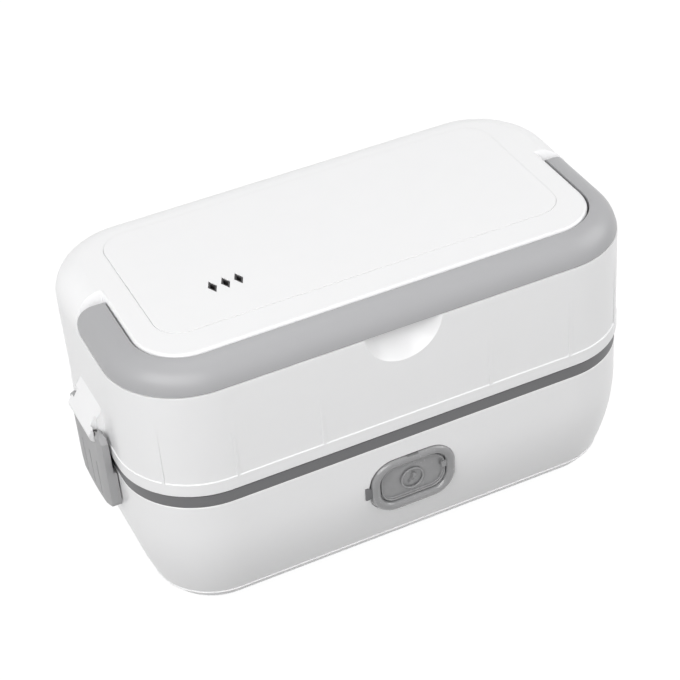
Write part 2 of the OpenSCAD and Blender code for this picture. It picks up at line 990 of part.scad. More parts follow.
module lid_shell() {
    spot = corner_spot(lid_boss_in);
    color("white")
        difference() {
            union() {
                difference() {
                    sweep([lid_z, lid_top])
                        union() {
                            lid_outline(0);
                            lid_band();
                        }
                    difference() {
                        lid_cavity();
                        notch_sphere(lid_wall);
                        at_corners(spot)
                            translate([0, 0, liner_z + tub_wall + 0.2])
                                cylinder(r = boss_r, h = far);
                        for (side = [0, 1])
                            mirror([side, 0, 0])
                                translate([panel_half - pin_in, pivot[0], pivot[1]])
                                    rotate([0, 90, 0])
                                        cylinder(r = pivot_r + 2.4, h = pin_in);
                    }
                }
                for (side = [0, 1])
                    mirror([side, 0, 0])
                        along_y(-hood_w/2, hood_w/2)
                            hood_profile();
                // Ribs that fade upward on the front, the back and the corners
                for (side = [0, 1], x = [-2, -1, 1, 2])
                    mirror([0, side, 0])
                        translate([x*rib_x, run_y, 0])
                            rotate([0, 0, 90])
                                fading_rib(rib_rise[0] + rib_rise[1]*abs(x));
                for (x = [-1, 1], y = [-1, 1])
                    translate([x*run_x, y*run_y, 0])
                        rotate([0, 0, atan2(y, x)])
                            fading_rib(rib_corner_rise);
            }
            handle_channel();
            notch_sphere(0);
            at_corners(spot)
                cylinder(r = screw_r + pin_play, h = lid_z + 16);
            for (side = [0, 1])
                mirror([side, 0, 0]) {
                    translate([panel_half - pin_in + 0.6, pivot[0], pivot[1]])
                        rotate([0, 90, 0])
                            cylinder(r = pivot_r + pin_play, h = far);
                    along_y(-far, far)
                        translate([pin_x, pin_z])
                            circle(latch_pin_r + pin_play);
                    for (end = [0, 1])
                        mirror([0, end, 0])
                            translate([pin_x - hood_slot/2, hood_w/2 - hood_slot, pin_z])
                                cube([hood_slot, hood_slot + cut, far]);
                }
            // Seat of the raised top panel, and the window for the steam vent
            translate([0, (plate_front + plate_back)/2, lid_top - plate_t])
                linear_extrude(far)
                    round_rect([plate_len + 2*plate_gap, plate_back - plate_front + 2*plate_gap], plate_r + plate_gap);
            translate([vent_x, vent_y, 0])
                linear_extrude(far)
                    round_rect([vent_box[0] - vent_lip, vent_box[1] - vent_lip], 2);
        }
}

module top_panel() {
    color("white")
        difference() {
            translate([0, (plate_front + plate_back)/2, lid_top - plate_t])
                linear_extrude(plate_t + panel_rise)
                    round_rect([plate_len, plate_back - plate_front], plate_r);
            translate([vent_x, vent_y, 0])
                linear_extrude(far)
                    vent_diamonds(1);
        }
}

// Plan of the three vent diamonds, as a share of their full size
module vent_diamonds(share) {
    half = share*diamond/2;
    for (i = [-1:1])
        translate([i*vent_pitch, 0])
            polygon([[-half[0], 0], [0, -half[1]], [half[0], 0], [0, half[1]]]);
}

module steam_vent() {
    z = lid_top - lid_wall;
    color([0.15, 0.15, 0.16])
        translate([vent_x, vent_y, 0])
            difference() {
                union() {
                    translate([0, 0, z - 1])
                        linear_extrude(1)
                            round_rect(vent_box, 3);
                    translate([0, 0, z - 0.5])
                        linear_extrude(lid_wall - plate_t + 0.4)
                            round_rect([vent_box[0] - vent_lip - 0.4, vent_box[1] - vent_lip - 0.4], 2);
                    // Dark sleeves that line the diamonds, just below the panel's face
                    translate([0, 0, z - 0.5])
                        linear_extrude(lid_wall + panel_rise + 0.2)
                            vent_diamonds(vent_sleeve);
                }
                linear_extrude(far)
                    vent_diamonds(vent_hole);
            }
}

module vent_flap() {
    z = lid_top - lid_wall - 1;
    color([0.75, 0.75, 0.76])
        translate([vent_x, vent_y, z - 0.7]) {
            difference() {
                linear_extrude(0.6)
                    round_rect([vent_box[0] - 2, vent_box[1] - 2], 2);
                translate([-9, -4.4, -cut])
                    cube([18, 0.5, 3]);
            }
        }
}

module lid_liner() {
    inner = well_inset;
    spot = corner_spot(lid_boss_in);
    color([0.93, 0.93, 0.92])
        difference() {
            sweep([liner_top - tub_wall, liner_top]) {
                bar(inner - tub_wall, inner, liner_z - seal_plate, liner_top);
                block(inner - tub_wall, liner_top - tub_wall, liner_top);
                bar(lid_wall - lid_out + seat, inner, liner_z, liner_z + tub_wall);
            }
            at_corners(spot)
                cylinder(r = screw_r + screw_play, h = lid_z + 10);
            // Steam holes below the vent
            for (i = [-2:2])
                translate([vent_x + i*steam_pitch, vent_y, liner_top - 10])
                    cylinder(r = steam_r, h = far);
        }
}

module liner_screws() {
    color("silver")
        at_corners(corner_spot(lid_boss_in))
            translate([0, 0, liner_z - head_h])
                screw(14);
}

module lid_seal() {
    color([0.8, 0.8, 0.8])
        sweep() {
            bar(seal_in, seal_in + 4.4, liner_z - seal_plate, liner_z);
            bar(seal_in + 1.2, seal_in + 3.2, ring_top + play, liner_z - seal_plate + 0.2);
        }
}

module handle_pins() {
    color("silver")
        for (side = [0, 1])
            mirror([side, 0, 0])
                translate([panel_half - pin_in + 0.7, pivot[0], pivot[1]])
                    rotate([0, 90, 0])
                        cylinder(r = pivot_r, h = pin_in + pin_out - 0.7);
}

module latch_pins() {
    color("silver")
        for (side = [0, 1])
            mirror([side, 0, 0])
                along_y(-latch_w/2 + 1, latch_w/2 - 1)
                    translate([pin_x, pin_z])
                        circle(latch_pin_r);
}

// ---- handle ----

// The handle's solid form in plan and section, drawn in by a wall
module handle_form(wall) {
    difference() {
        sweep([ledge_z, lid_top - wall])
            between(ledge_z + play, lid_top - wall)
                lid_outline(play + wall);
        linear_extrude(far)
            top_plan(handle_gap + wall);
    }
}

// The open underside, crossed by thin ribs along the front and in the arms
module handle_hollow() {
    difference() {
        union() {
            handle_form(handle_wall);
            translate([0, 0, -cut - play])
                handle_form(handle_wall);
        }
        translate([-far, pivot[0] - handle_solid, 0])
            cube([2*far, far, far]);
        for (i = [-4:4])
            translate([i*handle_rib_pitch - handle_rib/2, -far, 0])
                cube([handle_rib, far, far]);
        translate([-far, -panel_front + panel_r - 1, 0])
            cube([2*far, handle_rib, far]);
    }
}

module handle() {
    edge = panel_r + handle_gap;
    color([0.68, 0.68, 0.69])
        difference() {
            intersection() {
                handle_form(0);
                along_x(-far, far)
                    union() {
                        translate([-far, ledge_z + play])
                            square([far + pivot[0], far]);
                        translate(pivot)
                            circle(arm_r);
                    }
            }
            handle_hollow();
            // Rounds the inner upper edge
            panel_run()
                difference() {
                    translate([edge - cut, lid_top - handle_edge + roll_lift])
                        square([cut + handle_edge - roll_lift, far]);
                    translate([edge + handle_edge - roll_lift, lid_top - handle_edge + roll_lift])
                        circle(handle_edge);
                }
            for (side = [0, 1])
                mirror([side, 0, 0])
                    translate([panel_half, pivot[0], pivot[1]])
                        rotate([0, 90, 0])
                            cylinder(r = pivot_r + pin_play, h = pin_out + 0.5);
        }
}

// ---- latches ----

// Side view of a latch, on the +X end of the box
module latch_profile() {
    bottom = pin_z - latch_drop;
    ear_r = hood_r - 0.2;
    translate([pin_x, pin_z])
        circle(ear_r);
    intersection() {
        polygon([
            [latch_back, pin_z],
            [latch_back, base_top - 2],
            [latch_back - 1.4, base_top - 6],
            [latch_back - 1.4, bottom],
            [far, bottom],
            [far, pin_z]
        ]);
        translate([latch_face - latch_bow, pin_z - 6])
            circle(latch_bow, $fn = 360);
    }
}

// Face view of a latch: straight sides and a bowed lower edge
module latch_face_outline() {
    bow = 60;
    bottom = pin_z - latch_drop;
    intersection() {
        translate([-latch_w/2, bottom])
            square([latch_w, far]);
        translate([0, bottom + bow])
            circle(bow);
        translate([0, bottom + 3])
            round_rect_up(latch_w, 5);
    }
}

// An upright strip of a given width with two rounded lower corners
module round_rect_up(width, r) {
    for (x = [-1, 1])
        translate([x*(width/2 - r), r - 3])
            circle(r);
    translate([-width/2, r - 3])
        square([width, far]);
    translate([r - width/2, -3])
        square([width - 2*r, far]);
}

module latch() {
    bottom = pin_z - latch_drop;
    inner_w = 2*keeper_half + 1;
    nose_x = box_len/2 + keeper_out + play;
    hollow_z = bottom + 5;
    difference() {
        intersection() {
            along_y(-latch_w/2, latch_w/2)
                latch_profile();
            along_x(0, far)
                latch_face_outline();
            // Bevels between the face and the sides
            linear_extrude(far)
                polygon([
                    [0, -latch_w/2],
                    [latch_face - latch_bevel[0], -latch_w/2],
                    [latch_face, latch_bevel[1] - latch_w/2],
                    [latch_face, latch_w/2 - latch_bevel[1]],
                    [latch_face - latch_bevel[0], latch_w/2],
                    [0, latch_w/2]
                ]);
        }
        // Bevels on the ears' upper outside corners
        for (side = [0, 1])
            mirror([0, side, 0])
                along_x(0, far)
                    translate([latch_w/2, pin_z + hood_r])
                        polygon([
                            [-ear_bevel[0] - 1, ear_bevel[1]/ear_bevel[0]],
                            [1, -ear_bevel[1] - ear_bevel[1]/ear_bevel[0]],
                            [1, 2]
                        ]);
        // Gap for the lid's knuckle
        translate([0, -hood_w/2 - play, pin_z - hood_r - play - 0.1])
            cube([far, hood_w + 2*play, far]);
        // Hollow back between the side flanges, with the snap nose left standing
        difference() {
            translate([0, -inner_w/2, hollow_z])
                cube([latch_face - latch_t, inner_w, latch_drop - 12]);
            translate([nose_x, -inner_w/2, keeper_z - 5.6])
                cube([far, inner_w, 2.6]);
        }
        // Clearance over the base's ridge
        translate([0, -inner_w/2, bottom - cut])
            cube([nose_x, inner_w, latch_drop]);
        // Grip grooves down the lower half of the face
        for (i = [-1:1])
            translate([latch_face + groove_r/4, i*groove_pitch, bottom + 3])
                cylinder(r = groove_r, h = groove_h);
        along_y(-far, far)
            translate([pin_x, pin_z])
                circle(latch_pin_r + pin_play);
    }
}

module latch_right() {
    color([0.5, 0.5, 0.51])
        latch();
}

module latch_left() {
    color([0.5, 0.5, 0.51])
        mirror([1, 0, 0])
            latch();
}

// ---- food containers ----

// A drawn steel tub with a flat rim, from its floor up to the top of its rim
module container(floor_z, top_z, rim_in) {
    top_in = can_inset - steel_t;
    low_in = top_in + draft;
    color("gainsboro")
        sweep([floor_z, floor_z + steel_t]) {
            polygon([
                [corner_r - top_in, top_z],
                [corner_r - top_in - steel_t, top_z],
                [corner_r - low_in - steel_t, floor_z + steel_t],
                [0, floor_z + steel_t],
                [0, floor_z],
                [corner_r - low_in, floor_z]
            ]);
            bar(rim_in, top_in + steel_t, top_z - steel_t, top_z);
        }
}

// A press-on lid with a sunken middle, from its underside
module food_lid(z) {
    rim = well_inset + 0.8;
    color([0.86, 0.87, 0.88])
        sweep([z + 0.6, z + 2.2]) {
            bar(rim, can_inset + 3, z + seal_h, z + 3.6);
            bar(can_inset + 1.4, can_inset + 3, z + 0.6, z + 3.6);
            block(can_inset + 1.4, z + 0.6, z + 2.2);
        }
}

module food_seal(z) {
    color([0.75, 0.8, 0.85])
        sweep()
            bar(well_inset + 1.4, can_inset + 0.6, z, z + seal_h);
}

lower_lid_z = rim_z + steel_t + play;
upper_lid_z = upper_rim + play;

module lower_container() {
    container(lower_floor, rim_z + steel_t, well_inset - 3.3);
}

module lower_lid() {
    food_lid(lower_lid_z);
}

module lower_seal() {
    food_seal(lower_lid_z);
}

module upper_container() {
    container(upper_floor, upper_rim, well_inset + 0.8);
}

module upper_lid() {
    difference() {
        food_lid(upper_lid_z);
        translate([vent_x, 0, 0])
            cylinder(r = 3 + seat, h = far);
    }
}

module upper_seal() {
    food_seal(upper_lid_z);
}

module steam_plug() {
    color([0.45, 0.45, 0.46])
        translate([vent_x, 0, upper_lid_z]) {
            translate([0, 0, -0.6])
                cylinder(r = 3, h = 4);
            translate([0, 0, 2.3])
                cylinder(r = 5, h = 1.6);
        }
}

base_shell();
base_ring();
bottom_cover();
rubber_feet();
cover_screws();
basin();
heating_plate();
ptc_heater();
heater_clamp();
clamp_screws();
thermostat();
thermal_fuse();
power_inlet();
inlet_pins();
inner_leads();
flap_anchor();
inlet_flap();
lid_shell();
top_panel();
steam_vent();
vent_flap();
lid_liner();
liner_screws();
lid_seal();
handle_pins();
latch_pins();
handle();
latch_left();
latch_right();
lower_container();
lower_lid();
lower_seal();
upper_container();
upper_lid();
upper_seal();
steam_plug();
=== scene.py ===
"""Electric lunch box: finishes, hand-modelled pieces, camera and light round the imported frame.

The frame has +Z up, the long side along X and the power inlet on the -Y side. The sizes of
pieces are in millimetres, and MM turns them into the scene's metres.
"""

from __future__ import annotations

import json
import logging
import math
from dataclasses import dataclass
from enum import Enum

import bmesh
import bpy
from mathutils import Matrix, Vector


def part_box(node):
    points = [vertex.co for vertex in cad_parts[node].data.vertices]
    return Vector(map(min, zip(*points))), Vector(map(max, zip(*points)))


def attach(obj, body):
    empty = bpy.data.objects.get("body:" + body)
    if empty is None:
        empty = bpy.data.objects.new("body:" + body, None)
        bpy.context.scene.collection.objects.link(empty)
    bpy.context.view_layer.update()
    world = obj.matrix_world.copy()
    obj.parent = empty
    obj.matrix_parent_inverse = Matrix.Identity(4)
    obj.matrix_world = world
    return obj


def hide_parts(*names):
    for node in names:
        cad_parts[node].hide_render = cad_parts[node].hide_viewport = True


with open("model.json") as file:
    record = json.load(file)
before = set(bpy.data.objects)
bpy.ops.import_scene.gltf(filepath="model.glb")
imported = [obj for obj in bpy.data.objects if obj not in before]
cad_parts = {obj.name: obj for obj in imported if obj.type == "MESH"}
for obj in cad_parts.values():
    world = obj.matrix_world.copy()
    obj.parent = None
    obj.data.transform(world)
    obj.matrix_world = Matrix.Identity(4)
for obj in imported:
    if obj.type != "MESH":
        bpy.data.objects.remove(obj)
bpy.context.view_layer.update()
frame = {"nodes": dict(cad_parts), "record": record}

LOG = logging.getLogger("lunch_box")
MM = 0.001
Color = tuple[float, float, float]
Spot = tuple[float, float, float]
Span = tuple[float, float]
Step = tuple[float, float]
Node = bpy.types.Node
Socket = bpy.types.NodeSocket
Object = bpy.types.Object
Material = bpy.types.Material

WHITE = (1.0, 1.0, 1.0, 1.0)
# A face looks down where its normal's Z is lower than this
DOWNWARD = -0.9
# The range that most of a noise's values lie in
NOISE_CORE = (0.3, 0.7)
# A mix node has sockets for each type of data, and these are the ones for colours
MIX_LOW, MIX_HIGH, MIX_RESULT = 6, 7, 2


# ---- helpers for shader nodes ----


class Tree:
    """A thin layer over a node tree, to add nodes and link them in one call."""

    def __init__(self, tree: bpy.types.NodeTree) -> None:
        """Keeps the tree that nodes are added to."""
        self.tree = tree

    def feed(self, socket: Socket, value: object) -> None:
        """Links a socket to another, or sets it to a plain value.

        Args:
            socket: The input to feed.
            value: Another node's output, or the value itself.
        """
        if isinstance(value, bpy.types.NodeSocket):
            self.tree.links.new(value, socket)
        else:
            socket.default_value = value

    def fill(self, node: Node, values: dict[str, object]) -> None:
        """Feeds a node's inputs with values and links, given under their names."""
        for name, value in values.items():
            self.feed(node.inputs[name], value)

    def add(self, kind: str, **settings: object) -> Node:
        """Adds a node and sets its sockets or properties by name.

        Args:
            kind: The node's type.
            settings: Properties, or what feeds the inputs, with _ for each space.

        Returns:
            The new node.
        """
        node = self.tree.nodes.new(kind)
        for name, value in settings.items():
            socket = node.inputs.get(name.replace("_", " "))
            if socket is None:
                setattr(node, name, value)
            else:
                self.feed(socket, value)
        return node

    def group(self, name: str, **settings: object) -> Node:
        """Adds a group that is already built, with values for its inputs, and returns the node."""
        return self.add("ShaderNodeGroup", node_tree=bpy.data.node_groups[name], **settings)

    def math(self, operation: str, first: Socket | float, second: Socket | float) -> Socket:
        """Combines two values.

        Args:
            operation: What is done with them, such as ADD.
            first: The first value or link.
            second: The second value or link.

        Returns:
            The output with the result.
        """
        node = self.add("ShaderNodeMath", operation=operation)
        self.feed(node.inputs[0], first)
        self.feed(node.inputs[1], second)
        return node.outputs[0]

    def noise(
        self, place: Socket, scale: Socket | float, detail: float = 2.0, roughness: float = 0.5
    ) -> Socket:
        """Adds a noise.

        Args:
            place: The coordinates that it reads.
            scale: Its scale, or a link to it.
            detail: Its number of octaves.
            roughness: The share of the finer octaves.

        Returns:
            The output with its value.
        """
        node = self.add(
            "ShaderNodeTexNoise", Vector=place, Scale=scale, Detail=detail, Roughness=roughness
        )
        return node.outputs[0]

    def blend(self, factor: Socket, low: Color, high: Color) -> Socket:
        """Mixes two colours.

        Args:
            factor: The share of the second colour.
            low: The first colour.
            high: The second colour.

        Returns:
            The output with the mixed colour.
        """
        node = self.add("ShaderNodeMix", data_type="RGBA")
        self.feed(node.inputs[0], factor)
        self.feed(node.inputs[MIX_LOW], (*low, 1.0))
        self.feed(node.inputs[MIX_HIGH], (*high, 1.0))
        return node.outputs[MIX_RESULT]

    def remap(self, value: Socket, source: Span, target: Span) -> Socket:
        """Carries a value from one range to another, held at the ends.

        Args:
            value: The value to carry.
            source: The range that it comes from.
            target: The range that it goes to.

        Returns:
            The output with the result.
        """
        node = self.add("ShaderNodeMapRange", Value=value)
        ends = ("From Min", "From Max", "To Min", "To Max")
        self.fill(node, dict(zip(ends, (*source, *target))))
        return node.outputs[0]

    def seen(self) -> Socket:
        """Tells the rays that look at a surface from those that light the rest.

        Returns:
            The output with 1 for the first and 0 for the others.
        """
        path = self.add("ShaderNodeLightPath").outputs
        seen = self.math("MAXIMUM", path["Is Camera Ray"], path["Is Glossy Ray"])
        return self.math("MAXIMUM", seen, path["Is Transmission Ray"])

    def relief(
        self, shader: Node, height: Socket, depth: float, rounding: float, samples: int
    ) -> None:
        """Rounds a finish's edges in its shading and lays a relief over them.

        Args:
            shader: The finish's shader.
            height: The relief, from 0 to 1.
            depth: Its depth in millimetres.
            rounding: Radius of the edges in millimetres.
            samples: Number of samples of the rounding.
        """
        edge = self.add("ShaderNodeBevel", Radius=rounding * MM, samples=samples)
        bump = self.add(
            "ShaderNodeBump", Distance=depth * MM, Height=height, Normal=edge.outputs[0]
        )
        self.feed(shader.inputs["Normal"], bump.outputs[0])


def new_group(
    name: str, inputs: dict[str, float], outputs: list[str]
) -> tuple[Tree, dict[str, Socket], dict[str, Socket]]:
    """Starts a shader node group that takes and puts out numbers.

    Args:
        name: The group's name.
        inputs: Names of its inputs with their usual values.
        outputs: Names of its outputs.

    Returns:
        The group's tree, the sockets that give its inputs and those that take its outputs.
    """
    group = bpy.data.node_groups.new(name, "ShaderNodeTree")
    number = "NodeSocketFloat"
    for label, usual in inputs.items():
        socket = group.interface.new_socket(label, in_out="INPUT", socket_type=number)
        socket.default_value = usual
    for label in outputs:
        group.interface.new_socket(label, in_out="OUTPUT", socket_type=number)
    tree = Tree(group)
    given, made = tree.add("NodeGroupInput"), tree.add("NodeGroupOutput")
    sources = {label: given.outputs[label] for label in inputs}
    return tree, sources, {label: made.inputs[label] for label in outputs}


def make_grain_group() -> None:
    """Builds the spark-eroded grain of a moulding, with slow waves in the wall under it."""
    tree, given, made = new_group(
        "mould_grain",
        {"Grain Scale": 2500.0, "Wave Scale": 14.0, "Grain Share": 0.5},
        ["Height", "Mottle"],
    )
    mottle_scale = 90.0
    place = tree.add("ShaderNodeTexCoord").outputs["Object"]
    grain = tree.noise(place, given["Grain Scale"], detail=3.0)
    wave = tree.noise(place, given["Wave Scale"], detail=1.0)
    share = tree.math("MULTIPLY", grain, given["Grain Share"])
    rest = tree.math("SUBTRACT", 1.0, given["Grain Share"])
    tree.feed(made["Height"], tree.math("ADD", share, tree.math("MULTIPLY", wave, rest)))
    tree.feed(made["Mottle"], tree.noise(place, mottle_scale, detail=5.0, roughness=0.6))


def make_wear_group() -> None:
    """Builds a mask of faint rub marks: hairlines that show only where a slow noise lets them."""
    tree, given, made = new_group("rub_marks", {"Marks Scale": 700.0, "Amount": 0.5}, ["Mask"])
    turn, stretch = (0.4, 0.3, 0.9), (1.0, 0.04, 1.0)
    thinnest, patches, patch_scale = (0.62, 0.70), (0.52, 0.66), 30.0
    place = tree.add("ShaderNodeTexCoord").outputs["Object"]
    turned = tree.add("ShaderNodeMapping", Vector=place, Rotation=turn, Scale=stretch)
    lines = tree.noise(turned.outputs[0], given["Marks Scale"])
    thin = tree.remap(lines, thinnest, (0.0, 1.0))
    patch = tree.remap(tree.noise(place, patch_scale), patches, (0.0, 1.0))
    both = tree.math("MULTIPLY", thin, patch)
    tree.feed(made["Mask"], tree.math("MULTIPLY", both, given["Amount"]))


def make_brush_group() -> None:
    """Builds the fine lines of brushed sheet metal, drawn out along X and partly along Y."""
    tree, given, made = new_group("brush_lines", {"Line Scale": 900.0, "Stretch": 0.02}, ["Lines"])
    place = tree.add("ShaderNodeTexCoord").outputs["Object"]
    parts = tree.add("ShaderNodeSeparateXYZ", Vector=place).outputs
    x = tree.math("MULTIPLY", parts["X"], given["Stretch"])
    y = tree.math("MULTIPLY", parts["Y"], given["Stretch"])
    lines = []
    for across in (y, parts["Y"]):
        spot = tree.add("ShaderNodeCombineXYZ", X=x, Y=across, Z=parts["Z"]).outputs[0]
        lines.append(tree.noise(spot, given["Line Scale"], detail=4.0))
    tree.feed(made["Lines"], tree.math("MULTIPLY", tree.math("ADD", *lines), 0.5))


def start_material(name: str) -> tuple[Material, Tree, Node]:
    """Starts a material.

    Args:
        name: The material's name.

    Returns:
        The material, its tree and its shader.
    """
    material = bpy.data.materials.new(name)
    material.use_nodes = True
    tree = Tree(material.node_tree)
    return material, tree, material.node_tree.nodes["Principled BSDF"]


# ---- finishes: lengths in millimetres ----


@dataclass(frozen=True)
class Plastic:
    """A moulded plastic or rubber: one colour, a grain, a soft gloss and faint rub marks."""

    name: str
    color: Color
    roughness: float = 0.4
    roughness_spread: float = 0.03
    grain_scale: float = 2500.0
    grain_depth: float = 0.02
    grain_share: float = 0.5
    mottle: float = 0.02
    marks: float = 0.3
    marks_roughness: float = 0.12
    coat: float = 0.0
    coat_roughness: float = 0.12
    specular: float = 0.5
    subsurface: float = 0.0
    subsurface_radius: Spot = (1.0, 0.9, 0.8)
    subsurface_depth: float = 1.5
    rounding: float = 0.25
    rounding_samples: int = 6

    def build(self) -> None:
        """Builds the finish as a material."""
        _, tree, shader = start_material(f"{self.name}_finish")
        share = self.grain_share
        grain = tree.group("mould_grain", Grain_Scale=self.grain_scale, Grain_Share=share)
        mottle = grain.outputs["Mottle"]
        rubs = tree.group("rub_marks", Amount=self.marks).outputs["Mask"]
        dark = tuple(c * (1.0 - self.mottle) for c in self.color)
        ends = (self.roughness - self.roughness_spread, self.roughness + self.roughness_spread)
        spread = tree.remap(mottle, NOISE_CORE, ends)
        rubbed = tree.math("MULTIPLY", rubs, self.marks_roughness)
        values = {
            "Base Color": tree.blend(mottle, dark, self.color),
            "Roughness": tree.math("ADD", spread, rubbed),
            "Specular IOR Level": self.specular,
            "Coat Weight": self.coat,
            "Coat Roughness": self.coat_roughness,
            "Subsurface Weight": self.subsurface,
            "Subsurface Radius": self.subsurface_radius,
            "Subsurface Scale": self.subsurface_depth * MM,
        }
        tree.fill(shader, values)
        height = grain.outputs["Height"]
        tree.relief(shader, height, self.grain_depth, self.rounding, self.rounding_samples)


@dataclass(frozen=True)
class Metal:
    """A bare metal with brush lines or a plated, near-smooth skin."""

    name: str
    color: Color
    roughness: float = 0.3
    roughness_spread: float = 0.08
    line_scale: float = 900.0
    line_depth: float = 0.01
    line_shade: float = 0.86
    marks_roughness: float = 0.2
    anisotropy: float = 0.0
    rounding: float = 0.15
    rounding_samples: int = 4

    def build(self) -> None:
        """Builds the finish as a material."""
        _, tree, shader = start_material(f"{self.name}_finish")
        lines = tree.group("brush_lines", Line_Scale=self.line_scale).outputs["Lines"]
        rubs = tree.group("rub_marks").outputs["Mask"]
        dark = tuple(c * self.line_shade for c in self.color)
        ends = (self.roughness - self.roughness_spread, self.roughness + self.roughness_spread)
        spread = tree.remap(lines, NOISE_CORE, ends)
        rubbed = tree.math("MULTIPLY", rubs, self.marks_roughness)
        values = {
            "Base Color": tree.blend(lines, dark, self.color),
            "Roughness": tree.math("ADD", spread, rubbed),
            "Metallic": 1.0,
            "Anisotropic": self.anisotropy,
        }
        tree.fill(shader, values)
        tree.relief(shader, lines, self.line_depth, self.rounding, self.rounding_samples)


FINISHES: tuple[Plastic | Metal, ...] = (
    Plastic("white_plastic", (0.88, 0.88, 0.885), 0.32, grain_depth=0.004, coat=0.12),
    Plastic("grey_handle", (0.395, 0.395, 0.405), 0.38, grain_depth=0.004, coat=0.1),
    Plastic("grey_trim", (0.155, 0.155, 0.16), 0.45, grain_depth=0.012),
    Plastic("grey_latch", (0.38, 0.38, 0.385), 0.46),
    Plastic("grey_silicone", (0.31, 0.31, 0.315), 0.26, mottle=0.3, specular=0.6, coat=0.6),
    Plastic("clear_silicone", (0.74, 0.76, 0.78), 0.3, subsurface=0.6, marks=0.0),
    Plastic("liner_plastic", (0.8, 0.8, 0.79), 0.42, grain_depth=0.008),
    Plastic("black_plastic", (0.03, 0.028, 0.03), grain_depth=0.015),
    Plastic("foot_rubber", (0.06, 0.06, 0.062), 0.7, grain_depth=0.03),
    Plastic("wire_jacket", (0.5, 0.06, 0.04), grain_depth=0.01),
    Plastic("ceramic", (0.82, 0.8, 0.75), 0.25, coat=0.4, grain_depth=0.01),
    Metal("steel", (0.66, 0.65, 0.64), anisotropy=0.4),
    Metal("screw_steel", (0.58, 0.58, 0.57), 0.26, line_scale=300.0, line_depth=0.003),
    Metal("heater_aluminium", (0.7, 0.7, 0.69), 0.38, line_scale=500.0),
    Metal("brass_pin", (0.72, 0.6, 0.36), 0.28, line_scale=400.0, line_depth=0.004),
)


# ---- helpers for the frame: what carries a piece, and what it stands for ----


def node_body(node: str) -> str:
    """Returns the name of the body that carries a frame node."""
    bodies = frame["record"]["behaviour"]["bodies"]
    return next(body for body, members in bodies.items() if node in members)


def node_box(node: str) -> tuple[Vector, Vector]:
    """Returns the lowest and highest corners of a frame node in millimetres."""
    low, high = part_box(node)
    return Vector(low) / MM, Vector(high) / MM


def dress(piece: Object, slot: str) -> None:
    """Gives a piece the finish of a material slot."""
    piece.data.materials.clear()
    piece.data.materials.append(bpy.data.materials[f"{slot}_finish"])


def seat(piece: Object, slot: str, node: str) -> None:
    """Finishes a new piece: its material, what carries it and what it stands for.

    Args:
        piece: The new piece.
        slot: The record's material slot.
        node: The frame node that it replaces.
    """
    body = node_body(node)
    dress(piece, slot)
    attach(piece, body)
    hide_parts(node)
    LOG.info("%s rides on %s and stands for %s", piece.name, body, node)


# ---- helpers for modelling: lengths in millimetres ----


def deselect_all() -> None:
    """Leaves nothing selected, because an operator acts on all that is."""
    bpy.ops.object.select_all(action="DESELECT")


def take(piece: Object) -> None:
    """Makes one object the only selected one and the active one.

    Args:
        piece: The object to take.
    """
    deselect_all()
    piece.select_set(True)
    bpy.context.view_layer.objects.active = piece


def open_up(piece: Object) -> None:
    """Takes a piece and enters edit mode with all of it selected.

    Args:
        piece: The piece to edit.
    """
    take(piece)
    bpy.ops.object.mode_set(mode="EDIT")
    bpy.ops.mesh.select_all(action="SELECT")


def close_up() -> None:
    """Leaves edit mode."""
    bpy.ops.object.mode_set(mode="OBJECT")


def settle(name: str) -> Object:
    """Names the primitive that was just added and moves its place into its mesh.

    Args:
        name: The new piece's name.

    Returns:
        The new piece.
    """
    piece = bpy.context.object
    piece.name = piece.data.name = name
    bpy.ops.object.transform_apply()
    return piece


def shade(piece: Object, angle: float = 30.0) -> None:
    """Shades a piece smooth across every edge that is flatter than an angle in degrees."""
    take(piece)
    bpy.ops.object.shade_smooth_by_angle(angle=math.radians(angle))


def apply_modifiers(piece: Object) -> None:
    """Applies every modifier of a piece in order.

    Args:
        piece: The piece.
    """
    take(piece)
    for modifier in list(piece.modifiers):
        bpy.ops.object.modifier_apply(modifier=modifier.name)


def soften(piece: Object, width: float, angle: float = 40.0, segments: int = 3) -> None:
    """Rounds every edge of a piece that is sharper than an angle.

    Args:
        piece: The piece to round.
        width: Width of the rounding.
        angle: The angle in degrees.
        segments: Number of straight pieces in a rounding.
    """
    bevel = piece.modifiers.new("soften", "BEVEL")
    bevel.width = width * MM
    bevel.segments = segments
    bevel.limit_method = "ANGLE"
    bevel.angle_limit = math.radians(angle)
    apply_modifiers(piece)
    shade(piece)


def join(name: str, pieces: list[Object]) -> Object:
    """Joins loose pieces into one.

    Args:
        name: The name of the whole.
        pieces: The loose pieces.

    Returns:
        The whole.
    """
    take(pieces[0])
    for piece in pieces:
        piece.select_set(True)
    bpy.ops.object.join()
    whole = bpy.context.object
    whole.name = whole.data.name = name
    return whole


class Keep(Enum):
    """What stays of a piece that is cut: what lies outside the tool, or what lies inside it."""

    OUTSIDE = "DIFFERENCE"
    INSIDE = "INTERSECT"


def cut(piece: Object, tool: Object, keep: Keep = Keep.OUTSIDE) -> None:
    """Cuts a piece with a tool and removes the tool.

    Args:
        piece: The piece to cut.
        tool: The cutter.
        keep: What stays.
    """
    modifier = piece.modifiers.new("cut", "BOOLEAN")
    modifier.operation = keep.value
    modifier.solver = "EXACT"
    modifier.object = tool
    apply_modifiers(piece)
    bpy.data.objects.remove(tool)


def slice_off(piece: Object, point: Vector, outward: Vector) -> None:
    """Cuts a piece flat at a plane and drops what lies on the plane's outer side.

    Args:
        piece: The piece to cut.
        point: A point of the plane.
        outward: The plane's normal, of any length.
    """
    open_up(piece)
    bpy.ops.mesh.bisect(
        plane_co=point * MM, plane_no=outward.normalized(), use_fill=True, clear_outer=True
    )
    close_up()


